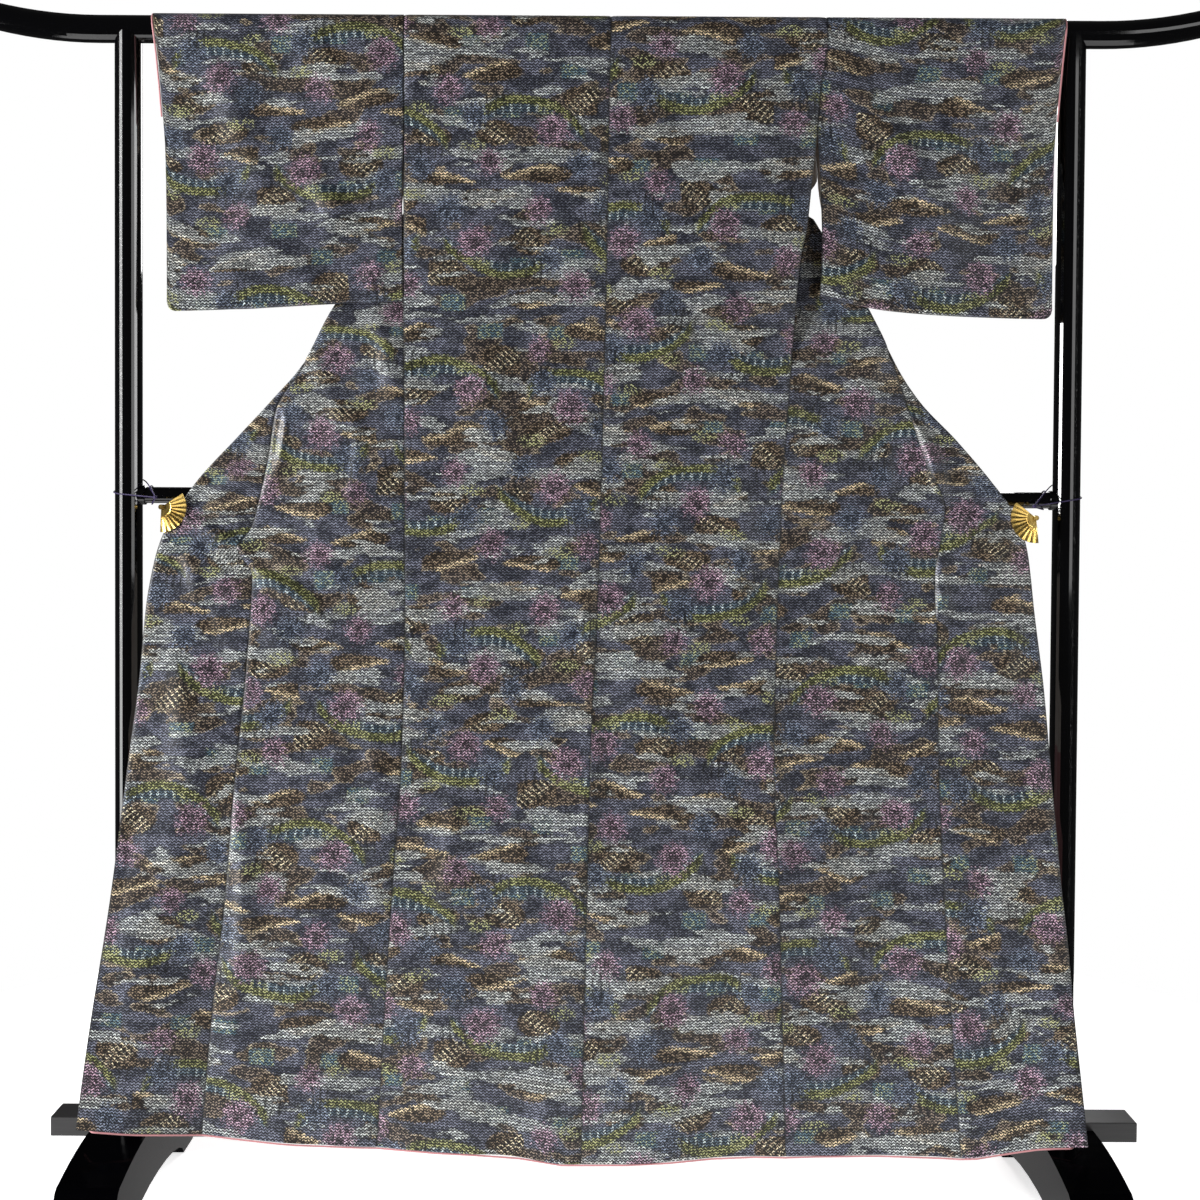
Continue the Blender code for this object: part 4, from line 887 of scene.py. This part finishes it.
def silk_material(name):
    """Figured silk: bridges, roofs, banks, pools and bursts between cloud bands, in a zigzag weave."""
    net = Net(name)
    flat = net.flat()
    u, v, _ = net.parts(flat)

    # the weave's steps make every outline a little ragged
    speck = net.white(net.vec("FLOOR", net.scaled(flat, 0.50, 0.56)))
    zig = net.math("PINGPONG", u, ZIGZAG_WIDE / 2)
    rag = net.vec("MULTIPLY_ADD", speck, (2.8, 2.4, 0.0), (-1.4, -1.2, 0.0))
    wide = net.noise(flat, 0.016, 0.0, out=1)
    warp = net.vec("MULTIPLY_ADD", wide, (14.0, 12.0, 0.0), (-7.0, -6.0, 0.0))
    moved = net.vec("ADD", net.vec("ADD", flat, rag), warp)
    mu, mv, _ = net.parts(moved)
    mv = net.fma(zig, 0.8, mv)
    grain = net.parts(speck)[2]

    # fold the cloth into cells, each second one turned half round and moved along
    level = net.math("DIVIDE", mv, CELL_HIGH)
    number = net.math("FLOOR", level)
    odd = net.times(net.math("FRACT", net.times(number, 0.5)), 2.0)
    y = net.times(net.math("FRACT", level), CELL_HIGH)
    x = net.times(net.fract(net.fma(number, CELL_SHIFT, mu), CELL_WIDE), CELL_WIDE)
    x = net.plus(x, net.times(odd, net.fma(x, -2.0, CELL_WIDE)))
    y = net.plus(y, net.times(odd, net.fma(y, -2.0, CELL_HIGH)))
    cell = net.join(x, y)

    # ground and the cloud bands that drift across it
    drift = net.noise(net.scaled(moved, 0.0085, 0.034), 1.0, 3.0, 0.55)
    lines = net.math("SINE", net.fma(drift, 26.0, net.times(mv, 1.05)))
    shade = net.noise(net.scaled(moved, 0.022, 0.045), 1.0, 0.0)
    colour = net.mix(net.above(shade, 0.50, 0.12), GROUND_DARK, GROUND)
    cloud = net.mix(net.above(lines, 0.0, 1.2), CLOUD_SHADE, CLOUD)

    def away_from(cx, cy, rx, ry):
        return net.vec("MULTIPLY_ADD", cell, (1 / rx, 1 / ry, 0.0), (-cx / rx, -cy / ry, 0.0))

    def oval(cx, cy, rx, ry, soft=2.5):
        away = away_from(cx, cy, rx, ry)
        return net.below(net.vec("LENGTH", away, out=1), 1.0, 2 * soft / (rx + ry))

    fine_dots = net.above(grain, 0.60, 0.1)
    ticks = net.below(net.fract(x, TICK_APART), 0.20, 0.06)
    diagonal = net.fract(net.plus(x, y), THATCH_APART)
    other_way = net.fract(net.minus(x, y), THATCH_APART)
    earth = net.mix(net.times(fine_dots, 0.8), BROWN, BROWN_PALE)
    pool_water = net.mix(net.times(net.above(grain, 0.78, 0.1), 0.8), POOL, TUFT)
    bridge_water = net.mix(ticks, TEAL, TICK)
    bridge_grass = net.mix(fine_dots, OLIVE_DARK, OLIVE)

    # low brown hills behind everything
    hills = net.noise(net.scaled(moved, 0.015, 0.034), 1.0, 1.0, 0.5, out=1)
    hill = net.parts(hills)[1]
    colour = net.mix(net.times(net.above(hill, 0.575, 0.04), 0.85), colour, earth)
    colour = net.mix(net.times(net.band(hill, 0.562, 0.582), 0.5), colour, TAN)
    for pool_at in POOLS:
        across, down, _ = net.parts(net.vec("ABSOLUTE", away_from(*pool_at)))
        pool = net.below(net.math("MAXIMUM", across, down), 1.0, 0.15)
        colour = net.mix(pool, colour, pool_water)
    for cx, cy, rx, ry, slope in BANKS:
        tilted = net.minus(y, net.fma(x, slope, cy - 0.3 * ry - cx * slope))
        crest = net.both(net.below(tilted, 3.0, 5.0), net.above(grain, 0.22, 0.2))
        ground = net.above(tilted, -4.0, 2.0)
        colour = net.mix(net.both(oval(cx, cy, rx, ry), ground), colour, net.mix(crest, earth, TAN))
    for cx, cy, rx, ry, slope in ROOFS:
        stripes = diagonal if slope > 0 else other_way
        beam = net.mix(net.above(stripes, 0.74, 0.12), INK, CREAM)
        slant = net.fma(x, slope, cy - cx * slope)
        under = net.below(net.math("ABSOLUTE", net.minus(y, slant)), 0.62 * ry, 2.0)
        roof = net.mix(net.both(under, net.above(stripes, 0.42, 0.1)), earth, beam)
        colour = net.mix(oval(cx, cy, rx, ry, 2.0), colour, roof)
    colour = net.mix(net.times(net.band(drift, 0.538, 0.560, 0.02), 0.55), colour, INK)
    colour = net.mix(net.times(net.above(drift, 0.562, 0.020), 0.76), colour, cloud)
    colour = net.mix(net.times(net.band(drift, 0.556, 0.574), 0.5), colour, CLOUD)
    for cx, cy, radius, inner, tilt in BRIDGES:
        leant = net.join(x, net.fma(x, tilt, net.minus(y, cx * tilt)))
        far = net.vec("DISTANCE", leant, (cx, cy + radius, 0.0), out=1)
        near = net.vec("DISTANCE", leant, (cx, cy + BRIDGE_DEEP + inner, 0.0), out=1)
        reach = net.below(net.math("ABSOLUTE", net.minus(x, cx)), BRIDGE_REACH, 6.0)
        span = net.both(net.below(far, radius, 2.0), net.above(near, inner, 2.0), reach)
        arch = net.mix(net.above(far, radius - BRIDGE_DEEP / 2, 2.0), bridge_water, bridge_grass)
        colour = net.mix(span, colour, arch)
    broken = net.fma(net.parts(speck)[1], 2.6, -2.5)
    for group, deep, pale in ((PINK_BURSTS, PINK_DARK, PINK), (NAVY_BURSTS, NAVY, NAVY_PALE)):
        for cx, cy, radius in group:
            across, down, _ = net.parts(net.vec("SUBTRACT", cell, (cx, cy, 0.0)))
            angle = net.math("ARCTAN2", down, across)
            reach = net.vec("DISTANCE", cell, (cx, cy, 0.0), out=1)
            petals = net.math("SINE", net.fma(reach, 0.22, net.times(angle, 13.0)))
            outward = net.fma(reach, 2.1 / radius, broken)
            lit = net.above(net.fma(petals, 0.55, outward), 0.0, 0.5)
            ragged = net.fma(petals, 3.0, net.fma(broken, 5.0, reach))
            colour = net.mix(net.below(ragged, radius - 6.0, 4.0), colour, net.mix(lit, deep, pale))
    for cx, cy, rx, ry in TUFTS:
        colour = net.mix(net.both(oval(cx, cy, rx, ry, 5.0), fine_dots), colour, TUFT)
    stakes = net.below(net.fract(x, STAKE_APART), 0.22, 0.05)
    for cx, cy, rx, ry in POSTS:
        colour = net.mix(net.both(oval(cx, cy, rx, ry, 1.0), stakes, 0.85), colour, INK)

    # the zigzag weave itself: pale floats over darker ground
    chevron = net.fract(net.fma(zig, 0.9, net.fma(grain, 0.8, v)), ZIGZAG_HIGH)
    pick = net.above(net.math("PINGPONG", chevron, 0.5), 0.27, 0.12)
    lit = net.both(pick, net.above(grain, 0.62, 0.1))
    thread = net.fma(pick, 1.70, net.fma(grain, 0.62, -0.36))
    thread = net.fma(lit, 1.6, net.math("MAXIMUM", thread, 0.0))
    colour = net.mix(1.0, colour, thread, blend="MULTIPLY")
    colour = net.mix(net.times(lit, 0.14), colour, WHITE_THREAD)
    # painted shadow in the seams: the cloth is darkened towards INK where the seam attribute is high
    seam = net.node("ShaderNodeAttribute", attribute_name="seam").outputs["Fac"]
    colour = net.mix(net.times(seam, 0.80), colour, INK)
    net.bump(pick, 0.22, 0.0003)
    rough = net.fma(pick, -0.10, 0.44)
    return net.finish(colour, rough, Sheen_Weight=0.04, Sheen_Roughness=0.4, Specular_IOR_Level=0.36)


def lining_material(name, tone, tone_dark):
    net = Net(name)
    flat = net.flat()
    cloudy = net.noise(flat, 0.012, 3.0)
    slub = net.noise(net.scaled(flat, 0.05, 1.6), 1.0, 2.0)
    colour = net.mix(net.above(cloudy, 0.5, 0.7), tone_dark, tone)
    colour = net.mix(net.times(slub, 0.18), colour, tone_dark)
    net.bump(slub, 0.15, 0.0003)
    return net.finish(colour, net.fma(slub, 0.12, 0.42), Sheen_Weight=0.3)


def lacquer_material(name, roughness=0.06, coat=0.3, specular=0.5):
    """Black lacquer: a deep gloss with faint waviness and a little dust."""
    net = Net(name)
    where = net.where()
    wavy = net.noise(where, 9.0, 2.0)
    dust = net.noise(where, 420.0, 3.0, 0.7)
    colour = net.mix(net.above(dust, 0.70, 0.10), rgb(2, 2, 3), rgb(16, 15, 15))
    net.bump(wavy, 0.05, 0.002)
    rough = net.fma(net.above(dust, 0.62, 0.2), 0.10, roughness)
    return net.finish(colour, rough, Coat_Weight=coat, Coat_Roughness=0.03, Specular_IOR_Level=specular)


def satin_material(name):
    """The base rail's duller black, brushed along its length."""
    net = Net(name)
    brushed = net.noise(net.scaled(net.where(), 3.0, 90.0, 90.0), 4.0, 3.0)
    colour = net.mix(brushed, rgb(18, 18, 19), rgb(46, 45, 46))
    net.bump(brushed, 0.06, 0.001)
    return net.finish(colour, net.fma(brushed, 0.15, 0.26), Specular_IOR_Level=0.5)


def gilt_material(name):
    net = Net(name)
    where = net.where()
    tone = net.noise(where, 160.0, 3.0)
    scuff = net.noise(net.scaled(where, 900.0, 900.0, 200.0), 1.0, 2.0)
    colour = net.mix(tone, rgb(214, 166, 78), rgb(252, 224, 138))
    net.bump(scuff, 0.12, 0.0004)
    return net.finish(colour, net.fma(scuff, 0.16, 0.20), Metallic=1.0)


def cord_material(name):
    net = Net(name)
    x, y, z = net.parts(net.where())
    slanted = net.plus(x, net.plus(z, y))
    twist = net.math("PINGPONG", net.times(slanted, 900.0), 0.5)
    colour = net.mix(twist, rgb(20, 8, 50), rgb(56, 28, 104))
    net.bump(twist, 0.5, 0.0004)
    return net.finish(colour, 0.55, Sheen_Weight=0.05)


SILK = silk_material("figured_silk_look")
LINING_PALE = lining_material("lining_pale_look", rgb(222, 212, 202), rgb(208, 196, 186))
LINING_PINK = lining_material("lining_pink_look", rgb(196, 136, 138), rgb(180, 120, 124))

# ---- cloth pieces ----------------------------------------------------------------------
SKIRT_LINING_TOP = 1050.0    # drop at which the pale body lining meets the pink skirt lining


def two_linings(body):
    """Inside faces low in the skirt take the pink lining."""
    mesh = body.data
    mesh.materials.append(LINING_PINK)
    for face in mesh.polygons:
        if face.material_index == 1 and TOP_Z - face.center.z > SKIRT_LINING_TOP * MM:
            face.material_index = 2


def stand_for(body, node):
    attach(body, "root")
    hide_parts(node)


def skirt_panel(node, grid, down_from, flip):
    """A panel of the body, its design starting `down_from` below the shoulder line."""
    kind, name = node.split("_")
    uv = cloth_uv(grid, down_from, shifted(kind, LEFT if name == "left" else RIGHT))
    body = shell(node + "_cloth", crease(grid, flip), uv, from_seams(grid), SILK, LINING_PALE, flip)
    two_linings(body)
    stand_for(body, node)
    return body


def edging_piece(node, rows, shift):
    """A turned edge of lining, as a thin rounded roll."""
    corners = np.array([[list(corner) for corner in row] for row in rows])
    middle = corners.mean(axis=1)
    a = (corners[:, 0] + corners[:, 1] - corners[:, 2] - corners[:, 3]) / 4
    b = (corners[:, 0] + corners[:, 3] - corners[:, 1] - corners[:, 2]) / 4
    steps = np.linalg.norm(np.diff(middle, axis=0), axis=1)
    along = np.concatenate(([0.0], np.cumsum(steps)))
    at = fine(0, along[-1], 4.0)
    parts = []
    for array in (middle, a, b):
        parts.append(np.stack([np.interp(at, along, array[:, k]) for k in range(3)], axis=-1))
    middle, a, b = parts
    sides = 10
    bm = bmesh.new()
    layer = bm.loops.layers.uv.new("cloth")
    rings = []
    for m, p, q in zip(middle, a, b):
        ring = []
        for k in range(sides):
            angle = 2 * math.pi * k / sides
            square = max(abs(math.cos(angle)), abs(math.sin(angle))) ** 0.5
            point = m + (p * math.cos(angle) + q * math.sin(angle)) / square
            ring.append(bm.verts.new(point * MM))
        rings.append(ring)
    for i, (first, second) in enumerate(zip(rings, rings[1:])):
        for k in range(sides):
            face = bm.faces.new((first[k], first[(k + 1) % sides], second[(k + 1) % sides], second[k]))
            for loop, (du, dv) in zip(face.loops, ((0, 0), (0, 1), (1, 1), (1, 0))):
                loop[layer].uv = ((at[i] + du * 4.0) * MM + shift, (k + dv) * MM)
    bm.faces.new(rings[0][::-1])
    bm.faces.new(rings[-1])
    bmesh.ops.recalc_face_normals(bm, faces=bm.faces)
    mesh = bpy.data.meshes.new(node + "_roll")
    bm.to_mesh(mesh)
    bm.free()
    mesh.shade_smooth()
    mesh.materials.append(LINING_PINK)
    body = linked(node + "_roll", mesh)
    stand_for(body, node)
    return body


PATTERN_SHIFTS = {"back": (0.08, 1.20), "front": (0.21, 3.05), "okumi": (0.02, 2.31), "sleeve": (0.17, 0.62),
                  "collar": (0.31, 4.4)}


def shifted(kind, side):
    u, v = PATTERN_SHIFTS[kind]
    return (u + (0.46 if side == LEFT else 0.0) + 3.0, v + (0.137 if side == LEFT else 0.0) + 3.0)


hem = edging_piece("hem_edge", hem_edge_rows(), 0.0)
pieces = {}
for side in (LEFT, RIGHT):
    name = side_name(side)
    flip = side == LEFT

    back = skirt_panel("back_" + name, fine_back(side), -SHOULDER_PATH, flip)
    grid = fine_panel(side, SHOULDER_PATH - PATH_LESS_DROP, front_row, FINE_FRONT, 3.0)
    front = skirt_panel("front_" + name, grid, SHOULDER_PATH, flip)
    grid = fine_panel(side, OVERLAP_TIP_DROP + 14, overlap_row, FINE_OVERLAP, 2.7)
    overlap = skirt_panel("okumi_" + name, grid, OVERLAP_TIP_DROP, flip)

    grid, free = fine_sleeve(side)
    uv = np.stack((lengths(grid, 0) * MM, -lengths(grid, 1) * MM), axis=-1)
    uv = uv + np.array(shifted("sleeve", side))
    creased = crease(grid, flip, ring=True, edges=False, pinned=free)
    sleeve = shell("sleeve_%s_cloth" % name, creased, uv, lengths(grid, 0), SILK, LINING_PALE, flip,
                   ring=True)
    stand_for(sleeve, "sleeve_" + name)
    cuff = edging_piece("cuff_edge_" + name, cuff_edge_rows(side), 1.0)

    pieces[side] = (back, front, overlap, sleeve, cuff)

grid = fine_collar()
flip = grid_normals(grid)[..., 1].mean() < 0
uv = cloth_uv(grid, 0.0, shifted("collar", RIGHT))
collar = shell("collar_cloth", grid, uv, from_seams(grid), SILK, SILK, flip, thickness=1.5)
stand_for(collar, "collar")

for side in (LEFT, RIGHT):
    back, front, overlap, sleeve, cuff = pieces[side]

# ---- stand, clips and cords ------------------------------------------------------------
LACQUER_LOOK = lacquer_material("lacquer_look")
FOOT_LOOK = lacquer_material("foot_look", 0.12, 0.0, 0.01)
LOOKS = {"top_bar": LACQUER_LOOK, "post_left": LACQUER_LOOK, "post_right": LACQUER_LOOK, "rung": LACQUER_LOOK,
         "foot_left": FOOT_LOOK, "foot_right": FOOT_LOOK, "base_rail": satin_material("rail_look"),
         "clip_left": gilt_material("gilt_look"), "cord_left": cord_material("cord_look")}
LOOKS["clip_right"] = LOOKS["clip_left"]
LOOKS["cord_right"] = LOOKS["cord_left"]
for node, look in LOOKS.items():
    for material_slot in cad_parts[node].material_slots:
        material_slot.material = look

# ---- floor, lights ---------------------------------------------------------------------
bpy.ops.mesh.primitive_circle_add(vertices=96, radius=1.5, fill_type="NGON", location=(0, 0.1, -0.0005))
floor = bpy.context.object
floor.name = "floor"
paper = Net("floor_look")
paper.put(paper.shader.inputs["Emission Color"], (1.0, 1.0, 1.0, 1.0))
floor.data.materials.append(paper.finish(rgb(246, 246, 246), 0.7, Emission_Strength=0.66))


def lamp(name, kind_size, power, location, target, colour=(1, 1, 1)):
    data = bpy.data.lights.new(name, "AREA")
    data.shape = "RECTANGLE"
    data.size, data.size_y = kind_size
    data.energy = power
    data.color = colour
    body = linked(name, data)
    body.location = location
    body.rotation_euler = (Vector(target) - Vector(location)).to_track_quat("-Z", "Y").to_euler()


lamp("key", (1.2, 2.4), 425, (-4.6, -2.0, 1.6), (0, 0, 1.0))
lamp("fill", (1.4, 1.8), 20, (2.4, -3.0, 1.6), (0, 0, 0.9))
lamp("strip_left", (0.22, 2.2), 12, (-2.0, -0.95, 1.15), (-0.6, 0, 1.1))
lamp("strip_right", (0.22, 2.2), 12, (2.0, -0.75, 1.15), (0.6, 0, 1.1))
lamp("back_fill", (2.0, 1.6), 90, (0.6, 3.4, 2.6), (0, 0, 0.9))

world = bpy.data.worlds.new("studio")
bpy.context.scene.world = world
world.use_nodes = True
tree = world.node_tree
background = tree.nodes["Background"]
background.inputs["Color"].default_value = (1, 1, 1, 1)
path = tree.nodes.new("ShaderNodeLightPath")
strength = tree.nodes.new("ShaderNodeMapRange")
strength.inputs["To Min"].default_value = 0.04
strength.inputs["To Max"].default_value = 1.0
tree.links.new(path.outputs["Is Camera Ray"], strength.inputs["Value"])
tree.links.new(strength.outputs["Result"], background.inputs["Strength"])
bpy.context.scene.view_settings.view_transform = "Standard"
